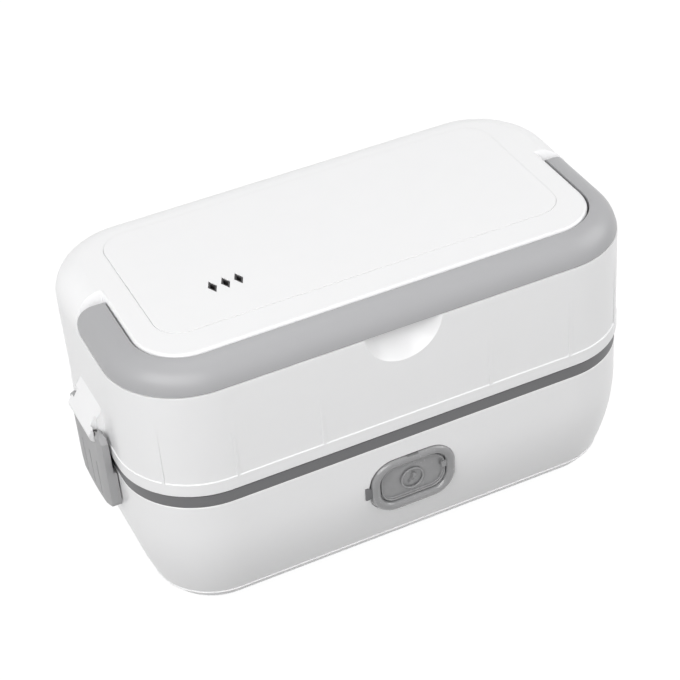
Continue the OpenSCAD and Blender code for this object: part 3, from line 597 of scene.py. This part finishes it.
def make_block(name: str, low: Vector, high: Vector) -> Object:
    """Adds a block as stock or as a cutter.

    Args:
        name: The block's name.
        low: Its lowest corner.
        high: Its highest corner.

    Returns:
        The block.
    """
    deselect_all()
    bpy.ops.mesh.primitive_cube_add(size=1.0, location=(low + high) / 2 * MM)
    bpy.context.object.scale = (high - low) * MM
    return settle(name)


class Axis(Enum):
    """The axis that a rod lies along, as the turn that lays an upright one there."""

    Y = (math.pi / 2, 0.0, 0.0)
    Z = (0.0, 0.0, 0.0)


def make_rod(
    name: str, spot: Vector, radius: float, length: float, along: Axis, sides: int = 32
) -> Object:
    """Adds a round rod as stock or as a cutter.

    Args:
        name: The rod's name.
        spot: Its middle.
        radius: Its radius.
        length: Its length.
        along: The axis that it lies along.
        sides: Number of its sides.

    Returns:
        The rod.
    """
    deselect_all()
    size = {"radius": radius * MM, "depth": length * MM}
    bpy.ops.mesh.primitive_cylinder_add(
        vertices=sides, location=spot * MM, rotation=along.value, **size
    )
    return settle(name)


def pick_underside(piece: Object) -> None:
    """Selects the faces of a piece that look almost straight down, in edit mode.

    Args:
        piece: The piece.
    """
    bpy.ops.mesh.select_mode(type="FACE")
    mesh = bmesh.from_edit_mesh(piece.data)
    for face in mesh.faces:
        face.select_set(face.normal.z < DOWNWARD)
    mesh.select_flush_mode()
    bmesh.update_edit_mesh(piece.data)


# ---- modelling by plates: a flat face is extruded and inset step by step ----


class Facing(Enum):
    """Which way a plate's face looks, as the plane's turn about X in degrees."""

    UP = 0.0
    FRONT = 90.0

    def normal(self) -> Vector:
        """Returns the direction that the face looks in."""
        turn = math.radians(self.value)
        return Vector((0.0, -math.sin(turn), math.cos(turn)))


def steps_between(spots: list[Step]) -> list[Step]:
    """Returns the steps from each spot of a profile to the next."""
    return [(b[0] - a[0], b[1] - a[1]) for a, b in zip(spots, spots[1:])]


def rolled_out(radius: float, count: int = 4) -> list[Step]:
    """Rolls a wall over into a flat top.

    Args:
        radius: Radius of the roll.
        count: Number of its steps.

    Returns:
        The insets and rises.
    """
    turns = [math.pi / 2 * k / count for k in range(count + 1)]
    return steps_between([(radius * (1 - math.cos(a)), radius * math.sin(a)) for a in turns])


def arched(width: float, height: float, count: int = 14) -> list[Step]:
    """Runs over a half-round border and down again.

    Args:
        width: Width of the border.
        height: Its height.
        count: Number of its steps.

    Returns:
        The insets and rises.
    """
    turns = [math.pi * k / count for k in range(count + 1)]
    return steps_between([(width / 2 * (1 - math.cos(a)), height * math.sin(a)) for a in turns])


def start_plate(
    name: str, size: Span, radius: float, center: Vector, facing: Facing, segments: int
) -> Object:
    """Starts a piece as a plane with round corners, selected in edit mode.

    Args:
        name: The new piece's name.
        size: Width and height of the plate.
        radius: Radius of its corners.
        center: Centre of the plate.
        facing: Which way its face looks.
        segments: Number of straight pieces in a corner.

    Returns:
        The new piece.
    """
    deselect_all()
    bpy.ops.mesh.primitive_plane_add(size=1.0)
    plane = bpy.context.object
    plane.scale = (size[0] * MM, size[1] * MM, 1.0)
    plane.rotation_euler = (math.radians(facing.value), 0.0, 0.0)
    plane.location = center * MM
    piece = settle(name)
    open_up(piece)
    bpy.ops.mesh.bevel(offset=radius * MM, segments=segments, affect="VERTICES")
    bpy.ops.mesh.select_all(action="SELECT")
    return piece


def rise(height: float, facing: Facing) -> None:
    """Extrudes the selected face straight out of the plate."""
    move = {"value": facing.normal() * height * MM}
    bpy.ops.mesh.extrude_region_move(TRANSFORM_OT_translate=move)


def shape(steps: list[Step]) -> None:
    """Insets the selected face again and again, each time with its rise."""
    for inset, height in steps:
        bpy.ops.mesh.inset(thickness=inset * MM, depth=height * MM)


def end_plate(piece: Object, angle: float = 30.0) -> Object:
    """Closes a plate: leaves edit mode with its normals outward and its faces smooth.

    Args:
        piece: The plate's piece.
        angle: The sharpest edge, in degrees, that is shaded smooth.

    Returns:
        The same piece.
    """
    bpy.ops.mesh.select_all(action="SELECT")
    bpy.ops.mesh.normals_make_consistent()
    close_up()
    shade(piece, angle)
    return piece


@dataclass
class Ring:
    """A ring round a rounded rectangle, with its four long edges rounded."""

    name: str
    size: Span
    radius: float
    center: Vector
    wall: float
    height: float
    edge: float
    facing: Facing = Facing.UP
    segments: int = 14

    def build(self) -> Object:
        """Builds the ring.

        Returns:
            The ring.
        """
        piece = start_plate(
            self.name, self.size, self.radius, self.center, self.facing, self.segments
        )
        shape([(self.wall, 0.0)])
        bpy.ops.mesh.delete(type="FACE")
        bpy.ops.mesh.select_all(action="SELECT")
        rise(self.height, self.facing)
        end_plate(piece)
        soften(piece, self.edge)
        return piece


# ---- soft pieces ----


@dataclass
class Emblem:
    """A plain raised ring with a spark of two thin wedges in it."""

    radius: float = 5.2
    wire: float = 0.55
    segments: tuple[int, int] = (48, 10)
    wedge: Span = (2.3, 1.2)
    wedge_sides: int = 3
    wedge_scale: Spot = (0.5, 1.25, 1.0)
    wedge_turn: float = 28.0
    wedge_offset: Span = (0.55, 1.2)
    wedge_edge: float = 0.15

    def build(self, center: Vector) -> list[Object]:
        """Builds the ring and the two wedges.

        Args:
            center: The middle of the emblem.

        Returns:
            The three loose pieces.
        """
        deselect_all()
        bpy.ops.mesh.primitive_torus_add(
            location=center * MM,
            rotation=(math.pi / 2, 0.0, 0.0),
            major_radius=self.radius * MM,
            minor_radius=self.wire * MM,
            major_segments=self.segments[0],
            minor_segments=self.segments[1],
        )
        ring = settle("emblem_ring")
        shade(ring)
        return [ring, self.half(center, -1), self.half(center, 1)]

    def half(self, center: Vector, side: int) -> Object:
        """Builds one wedge of the spark.

        Args:
            center: The middle of the emblem.
            side: -1 for the lower wedge and 1 for the upper.

        Returns:
            The wedge.
        """
        across, along = self.wedge_offset
        turn = math.radians(self.wedge_turn + 90.0 * (1 + side))
        deselect_all()
        bpy.ops.mesh.primitive_cylinder_add(
            vertices=self.wedge_sides,
            radius=self.wedge[0] * MM,
            depth=self.wedge[1] * MM,
            location=(center + Vector((across * side, 0.0, along * side))) * MM,
            rotation=(math.pi / 2, turn, 0.0),
        )
        bpy.context.object.scale = self.wedge_scale
        wedge = settle("spark")
        soften(wedge, self.wedge_edge, segments=2)
        return wedge


@dataclass
class SoftCover:
    """The silicone cover over the inlet: crowned border, groove, thin lip and sunken middle."""

    size: Span = (40.6, 27.8)
    radius: float = 11.6
    segments: int = 12
    center: Spot = (0.4, -62.0, 42.4)
    back: float = 2.1
    proud: float = -0.5
    border: float = 4.3
    arch: float = 2.08
    groove: Span = (0.5, 0.9)
    lip: Span = (0.8, 1.3)
    lip_edge: float = 0.15
    middle: float = 0.5
    dish: tuple[Step, ...] = ((0.35, -0.25), (0.8, 0.1), (1.4, 0.15), (1.6, 0.12), (1.2, 0.05))
    smooth: float = 35.0
    nick: Spot = (5.6, 0.55, 1.2)
    nick_reach: float = 9.0
    emblem: Spot = (-0.4, 0.25, 0.0)
    tab: Span = (1.3, 1.5)
    tab_depth: Span = (-0.6, 1.0)
    tab_spot: Span = (5.4, 1.8)
    edge: float = 0.3
    plug: Span = (22.4, 14.6)
    plug_radius: float = 2.4
    plug_segments: int = 5
    plug_back: float = 4.0
    plug_wall: float = 1.5
    overlap: float = 0.3

    def build(self) -> None:
        """Builds the cover, its emblem and the plug behind it as one piece."""
        parts = [self.face(), self.plug_ring()]
        parts += [*Emblem().build(self.spot(*self.emblem)), self.finger_tab()]
        seat(join("inlet_cover", parts), "grey_silicone", "inlet_flap")

    def spot(self, right: float, rear: float, up: float) -> Vector:
        """Returns a place that is given from the middle of the cover's rim, on the wall."""
        return Vector(self.center) + Vector((right, rear, up))

    def face(self) -> Object:
        """Builds the part that shows, from its rim inward.

        Returns:
            The face with the nick in its rim.
        """
        rear = self.spot(0.0, self.back, 0.0)
        sizes = (self.size, self.radius, rear)
        piece = start_plate("cover_face", *sizes, Facing.FRONT, self.segments)
        rise(self.back + self.proud, Facing.FRONT)
        shape(arched(self.border, self.arch))
        lip_width, lip_height = self.lip
        groove_width, groove_depth = self.groove
        edge = self.lip_edge
        shape([(0.0, -groove_depth), (groove_width, 0.0), (0.0, lip_height - edge)])
        shape([(edge, edge), (lip_width - 2 * edge, 0.0), (edge, -edge)])
        shape([(0.0, self.middle - lip_height), *self.dish])
        face = end_plate(piece, self.smooth)
        width, depth, rear_reach = self.nick
        top = self.size[1] / 2
        low = self.spot(-width / 2, -self.nick_reach, top - depth)
        nick = make_block("nick", low, self.spot(width / 2, rear_reach, 2 * top))
        cut(face, nick)
        shade(face, self.smooth)
        return face

    def plug_ring(self) -> Object:
        """Builds the hollow plug that fills the socket's mouth.

        Returns:
            The plug.
        """
        rear = self.spot(0.0, self.plug_back, 0.0)
        deep = self.plug_back - self.back + self.overlap
        sizes = (self.plug, self.plug_radius, rear, self.plug_wall, deep, self.edge)
        return Ring("cover_plug", *sizes, Facing.FRONT, self.plug_segments).build()

    def finger_tab(self) -> Object:
        """Builds the small tab that the cover is pulled by.

        Returns:
            The tab.
        """
        x, z = self.size[0] / 2 - self.tab_spot[0], self.tab_spot[1]
        wide, tall = self.tab
        front, rear = self.tab_depth
        low = self.spot(x - wide, front, z - tall)
        tab = make_block("tab", low, self.spot(x + wide, rear, z + tall))
        soften(tab, self.edge)
        return tab


@dataclass
class CoverStrap:
    """The soft strap that holds the inlet's cover: a root in the wall's slot and a tapered web."""

    reach: Span = (0.95, 4.55)
    root: Span = (1.05, 2.35)
    half_height: float = 3.1
    front: float = -62.45
    back: float = -61.2
    taper: Span = (0.9, 2.4)
    web_edge: float = 0.25
    root_edge: float = 0.2
    root_play: float = 0.1
    overlap: float = 0.3

    def build(self) -> None:
        """Builds the strap in the place of the node that it replaces."""
        low, high = node_box("flap_anchor")
        middle = (low.z + high.z) / 2
        tall = self.half_height
        web = make_block(
            "web",
            Vector((low.x + self.reach[0], self.front, middle - tall)),
            Vector((low.x + self.reach[1], self.back, middle + tall)),
        )
        for end in (-1, 1):
            corner = Vector((low.x + self.root[1], 0.0, middle + end * tall))
            slice_off(web, corner, Vector((self.taper[0], 0.0, end * self.taper[1])))
        soften(web, self.web_edge)
        tall -= self.root_play
        root = make_block(
            "root",
            Vector((low.x + self.root[0], self.back - self.overlap, middle - tall)),
            Vector((low.x + self.root[1], high.y, middle + tall)),
        )
        soften(root, self.root_edge)
        # The strap takes the dark trim finish, darker than the cover's silicone, as painted shade
        # of the slot that it sits in.
        seat(join("cover_strap", [web, root]), "grey_trim", "flap_anchor")


@dataclass
class Feet:
    """Four rubber feet, each a low round pad with a hollow under it."""

    radius: float = 6.0
    height: float = 1.2
    sink: float = 1.0
    roll: float = 0.5
    hollow: tuple[Step, ...] = ((1.0, 0.0), (0.25, -0.35), (3.0, -0.1))

    def build(self) -> None:
        """Builds a foot in each corner of the node that they replace."""
        low, high = node_box("rubber_feet")
        x, y = (high - low).xy / 2 - Vector((self.radius, self.radius))
        feet = [self.foot(Vector((i * x, j * y, 0.0))) for i in (-1, 1) for j in (-1, 1)]
        seat(join("feet", feet), "foot_rubber", "rubber_feet")

    def foot(self, spot: Vector) -> Object:
        """Builds one foot with its face down.

        Args:
            spot: The middle of the foot, on the ground.

        Returns:
            The foot.
        """
        tall = self.height + self.sink
        middle = spot + Vector((0.0, 0.0, (tall + self.roll) / 2))
        foot = make_rod("foot", middle, self.radius, tall - self.roll, Axis.Z)
        open_up(foot)
        pick_underside(foot)
        shape([*rolled_out(self.roll), *self.hollow])
        return end_plate(foot)


@dataclass
class Gasket:
    """A silicone ring round a rounded rectangle, with a raised bead along its middle."""

    name: str
    node: str
    radius: float
    wall: float
    edge: float
    bead: float
    bead_up: bool
    bead_roundness: float = 2.2
    overlap: float = 0.3

    def build(self) -> None:
        """Builds the ring in the box of the node that it replaces."""
        low, high = node_box(self.node)
        length, width = (high - low).xy
        half = (high.z - low.z) / 2
        middle = low.z + half
        flat_low, bead_low = (low.z, middle - self.overlap) if self.bead_up else (middle, low.z)
        inset = (self.wall - self.bead) / 2
        spot = Vector((0.0, 0.0, flat_low))
        flat = Ring(self.name, (length, width), self.radius, spot, self.wall, half, self.edge)
        spot = Vector((0.0, 0.0, bead_low))
        size = (length - 2 * inset, width - 2 * inset)
        tall, edge = half + self.overlap, self.bead / self.bead_roundness
        bead = Ring("bead", size, self.radius - inset, spot, self.bead, tall, edge)
        seat(join(self.name, [flat.build(), bead.build()]), "clear_silicone", self.node)


@dataclass
class SteamPlug:
    """The soft plug in the upper food lid: a mushroom cap with a finger dish, on a waisted stem."""

    sides: int = 40
    cap: float = 5.0
    cap_height: float = 1.6
    cap_roll: float = 0.6
    dish: tuple[Step, ...] = ((1.0, 0.0), (0.6, -0.25), (1.4, -0.25))
    stem: float = 3.0
    # Insets, and rises as shares of the neck's height
    neck: tuple[Step, ...] = ((0.35, 0.3), (0.0, 0.3), (-0.35, 0.2), (0.5, 0.2))

    def build(self) -> None:
        """Builds the plug from its cap down."""
        low, high = node_box("steam_plug")
        spot = (low + high) / 2
        spot.z = high.z - self.cap_height
        deselect_all()
        bpy.ops.mesh.primitive_circle_add(
            vertices=self.sides, radius=self.cap * MM, fill_type="NGON", location=spot * MM
        )
        plug = settle("soft_plug")
        open_up(plug)
        rise(self.cap_height - self.cap_roll, Facing.UP)
        shape([*rolled_out(self.cap_roll), *self.dish])
        pick_underside(plug)
        bpy.ops.mesh.inset(thickness=(self.cap - self.stem) * MM)
        shape([(inset, (spot.z - low.z) * share) for inset, share in self.neck])
        end_plate(plug)
        seat(plug, "grey_silicone", "steam_plug")


@dataclass
class VentFlap:
    """The thin silicone flap under the steam vent, with a thick edge where it is held."""

    radius: float = 2.0
    segments: int = 5
    roll: float = 0.15
    hollow: tuple[Step, ...] = ((1.4, 0.0), (0.3, -0.25), (0.4, 0.0))

    def build(self) -> None:
        """Builds the flap in the box of the node that it replaces."""
        low, high = node_box("vent_flap")
        length, width, tall = high - low
        spot = (low + high) / 2
        spot.z = low.z
        sizes = ((length, width), self.radius, spot)
        flap = start_plate("steam_flap", *sizes, Facing.UP, self.segments)
        rise(tall - self.roll, Facing.UP)
        shape([(self.roll, self.roll), *self.hollow])
        end_plate(flap)
        seat(flap, "clear_silicone", "vent_flap")


# ---- latches ----


class Side(Enum):
    """Which end of the lunch box a latch sits on."""

    LEFT = -1
    RIGHT = 1


@dataclass
class Latch:
    """A side latch: a bevelled shell with faceted ears on a hidden pin, and a snap nose inside."""

    side: Side
    half_width: float = 20.0
    pin: Span = (122.0, 83.0)
    face: float = 123.4
    back: float = 118.1
    bottom: float = 44.5
    top: float = 86.1
    bevel: Span = (0.9, 6.0)
    end_facet: Span = (3.2, 4.2)
    face_facet: Span = (2.2, 3.4)
    rounding: float = 0.35
    rounding_angle: float = 24.0
    smooth: float = 32.0
    corner: float = 5.5
    corner_segments: int = 7
    corner_reach: float = 0.1
    bow: float = 62.0
    bow_x: float = 121.5
    bow_depth: float = 20.0
    bow_sides: int = 180
    gap_half: float = 13.5
    gap_low: float = 79.2
    upper_back: float = 119.5
    upper_low: Span = (64.0, 66.0)
    upper_slope: Span = (1.4, -2.0)
    ear_low: float = 84.1
    ear_deeper: float = 1.5
    ear_slope: Span = (2.0, -1.5)
    inner_half: float = 14.5
    inner_top: float = 37.5
    wall: float = 2.4
    room_z: Span = (5.0, 31.5)
    nose: Spot = (118.9, 55.4, 58.0)
    hole: float = 0.85
    hole_half: float = 16.6
    groove: float = 0.85
    groove_sink: float = 0.3
    groove_pitch: float = 9.0
    groove_z: Span = (47.6, 66.0)
    groove_sides: int = 20
    # Places well inside and outside the latch along X, and a reach past it along Y and Z
    inside: float = 100.0
    outside: float = 140.0
    far: float = 40.0

    def build(self) -> None:
        """Builds the latch on the right, mirrors it for the left and seats it."""
        name = self.side.name.lower()
        latch = self.shell()
        self.hollow(latch)
        soften(latch, self.rounding, self.rounding_angle)
        self.cut_grooves(latch)
        if self.side is Side.LEFT:
            open_up(latch)
            bpy.ops.transform.resize(value=(-1.0, 1.0, 1.0), center_override=(0.0, 0.0, 0.0))
            bpy.ops.mesh.normals_make_consistent()
            close_up()
        latch.name = latch.data.name = f"{name}_latch"
        shade(latch, self.smooth)
        seat(latch, "grey_latch", f"latch_{name}")

    def shell(self) -> Object:
        """Cuts the outside from a block: bowed foot, face bevels and faceted ears.

        Returns:
            The latch, still solid.
        """
        latch = make_block(
            "latch",
            Vector((self.back, -self.half_width, self.bottom)),
            Vector((self.face, self.half_width, self.top)),
        )
        self.round_foot(latch)
        for end in (-1, 1):
            edge = Vector((self.face - self.bevel[0], end * self.half_width, 0.0))
            slice_off(latch, edge, Vector((self.bevel[1], end * self.bevel[0], 0.0)))
            ear = Vector((0.0, end * self.half_width, self.top - self.end_facet[1]))
            slice_off(latch, ear, Vector((0.0, end * self.end_facet[1], self.end_facet[0])))
        brow = Vector((self.face, 0.0, self.top - self.face_facet[1]))
        slice_off(latch, brow, Vector((self.face_facet[1], 0.0, self.face_facet[0])))
        return latch

    def round_foot(self, latch: Object) -> None:
        """Rounds the two lower corners and bows the foot between them.

        Args:
            latch: The block that the latch is cut from.
        """
        floor = (self.bottom + self.corner_reach) * MM
        open_up(latch)
        bpy.ops.mesh.select_mode(type="EDGE")
        mesh = bmesh.from_edit_mesh(latch.data)
        for edge in mesh.edges:
            one, two = (vertex.co for vertex in edge.verts)
            edge.select_set(max(one.z, two.z) < floor and one.y == two.y)
        mesh.select_flush_mode()
        bmesh.update_edit_mesh(latch.data)
        bpy.ops.mesh.bevel(offset=self.corner * MM, segments=self.corner_segments, affect="EDGES")
        close_up()
        middle = Vector((self.bow_x, 0.0, self.bottom + self.bow))
        bow = make_rod("bow", middle, self.bow, self.bow_depth, Axis.Z, self.bow_sides)
        open_up(bow)
        bpy.ops.transform.rotate(value=math.pi / 2, orient_axis="Y", center_override=middle * MM)
        close_up()
        cut(latch, bow, Keep.INSIDE)

    def hollow(self, latch: Object) -> None:
        """Cuts the gap for the lid's knuckle, the hollow back and the pin's blind hole.

        Args:
            latch: The solid latch.
        """
        above, bottom = self.top + self.far, self.bottom
        upper = self.room(self.upper_back, self.far, self.upper_low[0], above)
        slope = Vector((self.upper_slope[0], 0.0, self.upper_slope[1]))
        slice_off(upper, Vector((self.upper_back, 0.0, self.upper_low[1])), slope)
        ear_back = self.upper_back + self.ear_deeper
        ear = self.room(ear_back, self.far, self.ear_low, self.ear_low + self.far)
        slope = Vector((self.ear_slope[0], 0.0, self.ear_slope[1]))
        slice_off(ear, Vector((self.upper_back, 0.0, self.ear_low)), slope)
        nose_x, nose_low, nose_high = self.nose
        skin = self.face - self.wall
        pin = Vector((self.pin[0], 0.0, self.pin[1]))
        tools = [
            self.room(self.outside, self.gap_half, self.gap_low, above),
            upper,
            ear,
            self.room(nose_x, self.inner_half, bottom - self.far, bottom + self.inner_top),
            self.room(skin, self.inner_half, bottom + self.room_z[0], nose_low),
            self.room(skin, self.inner_half, nose_high, bottom + self.room_z[1]),
            make_rod("hole", pin, self.hole, 2 * self.hole_half, Axis.Y),
        ]
        for tool in tools:
            cut(latch, tool)

    def room(self, reach: float, half: float, low: float, high: float) -> Object:
        """Makes a cutter that reaches into the latch from behind.

        Args:
            reach: How far out it goes, along X.
            half: Half its width, along Y.
            low: Height of its floor.
            high: Height of its ceiling.

        Returns:
            The cutter.
        """
        return make_block("room", Vector((self.inside, -half, low)), Vector((reach, half, high)))

    def cut_grooves(self, latch: Object) -> None:
        """Cuts three grip grooves with round ends into the lower half of the face.

        Args:
            latch: The latch to cut.
        """
        low, high = self.groove_z
        x = self.face + self.groove * self.groove_sink
        for i in (-1, 0, 1):
            spot = Vector((x, i * self.groove_pitch, (low + high) / 2))
            sizes = (spot, self.groove, high - low)
            cut(latch, make_rod("groove", *sizes, Axis.Z, self.groove_sides))


@dataclass
class LatchPins:
    """The two pins that the latches turn on, with rounded ends."""

    spot: Span = (122.0, 83.0)
    radius: float = 0.8
    half_length: float = 16.4
    sides: int = 24
    edge: float = 0.3

    def build(self) -> None:
        """Builds one pin for each end."""
        pins = []
        for side in Side:
            place = Vector((side.value * self.spot[0], 0.0, self.spot[1]))
            pin = make_rod("pin", place, self.radius, 2 * self.half_length, Axis.Y, self.sides)
            soften(pin, self.edge)
            pins.append(pin)
        seat(join("hinge_pins", pins), "screw_steel", "latch_pins")


# ---- scene: lengths in metres ----


@dataclass(frozen=True)
class Lamp:
    """A soft square lamp that faces the middle of the lunch box."""

    name: str
    place: Spot
    size: float
    power: float
    target: Spot = (0.0, 0.0, 0.07)

    def build(self) -> None:
        """Adds the lamp."""
        lamp = bpy.data.lights.new(self.name, "AREA")
        lamp.shape = "SQUARE"
        lamp.size = self.size
        lamp.energy = self.power
        holder = bpy.data.objects.new(self.name, lamp)
        bpy.context.scene.collection.objects.link(holder)
        holder.location = self.place
        aim = Vector(self.target) - Vector(self.place)
        holder.rotation_euler = aim.to_track_quat("-Z", "Y").to_euler()


@dataclass
class Studio:
    """A floor that shows white, soft lamps on every side, and a surround brightest low down."""

    lamps: tuple[Lamp, ...] = (
        Lamp("key_lamp", (-0.7, -1.3, 1.3), 1.2, 13.1),
        Lamp("left_lamp", (-1.4, -0.6, 1.25), 1.0, 11.4),
        Lamp("right_lamp", (1.5, -0.5, 0.95), 1.2, 10.0),
        Lamp("top_lamp", (0.1, 0.3, 1.8), 1.2, 5.4),
    )
    floor_size: float = 6.0
    floor_drop: float = 0.0003
    floor_color: Color = (0.12, 0.12, 0.12)
    floor_roughness: float = 0.9
    floor_glow: float = 0.94
    horizon: float = 1.5
    zenith: float = 0.2
    zenith_from: float = 0.6

    def build(self) -> None:
        """Builds the floor, the lamps and the world."""
        self.floor()
        for lamp in self.lamps:
            lamp.build()
        self.world()

    def floor(self) -> None:
        """Adds the floor, which shows white and still takes the shadow."""
        deselect_all()
        spot = (0.0, 0.0, -self.floor_drop)
        bpy.ops.mesh.primitive_plane_add(size=self.floor_size, location=spot)
        floor = bpy.context.object
        floor.name = "floor"
        material, tree, shader = start_material("floor")
        seen = tree.seen()
        values = {
            "Base Color": (*self.floor_color, 1.0),
            "Roughness": self.floor_roughness,
            "Specular IOR Level": 0.0,
            "Emission Color": WHITE,
            "Emission Strength": tree.math("MULTIPLY", seen, self.floor_glow),
        }
        tree.fill(shader, values)
        floor.data.materials.append(material)

    def world(self) -> None:
        """Sets the surround: brightest at the horizon, and white where it is seen."""
        world = bpy.data.worlds.new("surround")
        bpy.context.scene.world = world
        world.use_nodes = True
        tree = Tree(world.node_tree)
        place = tree.add("ShaderNodeTexCoord").outputs["Generated"]
        height = tree.add("ShaderNodeSeparateXYZ", Vector=place).outputs["Z"]
        level = tree.remap(height, (0.0, self.zenith_from), (self.horizon, self.zenith))
        seen = tree.seen()
        white = tree.math("MULTIPLY", seen, tree.math("SUBTRACT", 1.0, level))
        strength = tree.math("ADD", level, white)
        back = world.node_tree.nodes["Background"]
        tree.fill(back, {"Color": WHITE, "Strength": strength})


@dataclass
class Viewpoint:
    """The camera, given by where it stands round the lunch box."""

    azimuth: float = -23.44
    elevation: float = 38.09
    roll: float = -4.38
    distance: float = 0.86095
    aim_height: float = 0.070
    pan_right: float = 0.01207
    pan_up: float = -0.00959
    sensor: float = 36.0
    lens: float = 101.57
    shift_right: float = -0.05
    shift_up: float = 0.05
    nearest: float = 0.01

    def build(self) -> None:
        """Adds the camera and makes it the scene's own."""
        camera = bpy.data.cameras.new("camera")
        camera.sensor_width = self.sensor
        camera.lens = self.lens
        camera.shift_x = self.shift_right
        camera.shift_y = self.shift_up
        camera.clip_start = self.nearest
        holder = bpy.data.objects.new("camera", camera)
        bpy.context.scene.collection.objects.link(holder)
        holder.matrix_world = self.placement()
        bpy.context.scene.camera = holder

    def placement(self) -> Matrix:
        """Works out where the camera stands and how it is turned.

        Returns:
            The camera's matrix.
        """
        turn = math.radians(self.azimuth)
        tilt = math.radians(self.elevation)
        lean = math.radians(self.roll)
        flat = math.cos(tilt)
        back = Vector((math.sin(turn) * flat, -math.cos(turn) * flat, math.sin(tilt)))
        level = Vector((math.cos(turn), math.sin(turn), 0.0))
        upright = back.cross(level)
        right = math.cos(lean) * level + math.sin(lean) * upright
        above = math.cos(lean) * upright - math.sin(lean) * level
        place = Vector((0.0, 0.0, self.aim_height)) + self.distance * back
        place += self.pan_right * right + self.pan_up * above
        return Matrix((*zip(right, above, back, place), (0.0, 0.0, 0.0, 1.0)))


def main() -> None:
    """Builds the lunch box and its studio in order."""
    logging.basicConfig(level=logging.INFO, format="%(name)s: %(message)s")
    make_grain_group()
    make_wear_group()
    make_brush_group()
    for finish in FINISHES:
        finish.build()
    slots = {row["node"]: row["material_slot"] for row in frame["record"]["subparts"]}
    for name, node in frame["nodes"].items():
        dress(node, slots[name])
    SoftCover().build()
    CoverStrap().build()
    Feet().build()
    Gasket(
        "liner_gasket", "lid_seal", radius=22.6, wall=4.4, edge=0.3, bead=2.0, bead_up=False
    ).build()
    for level in ("lower", "upper"):
        names = (f"{level}_gasket", f"{level}_seal")
        Gasket(*names, radius=13.1, wall=2.9, edge=0.25, bead=1.2, bead_up=True).build()
    SteamPlug().build()
    VentFlap().build()
    for side in Side:
        Latch(side).build()
    LatchPins().build()
    Studio().build()
    Viewpoint().build()
    bpy.context.scene.view_settings.view_transform = "Standard"


if __name__ == "__main__":
    main()
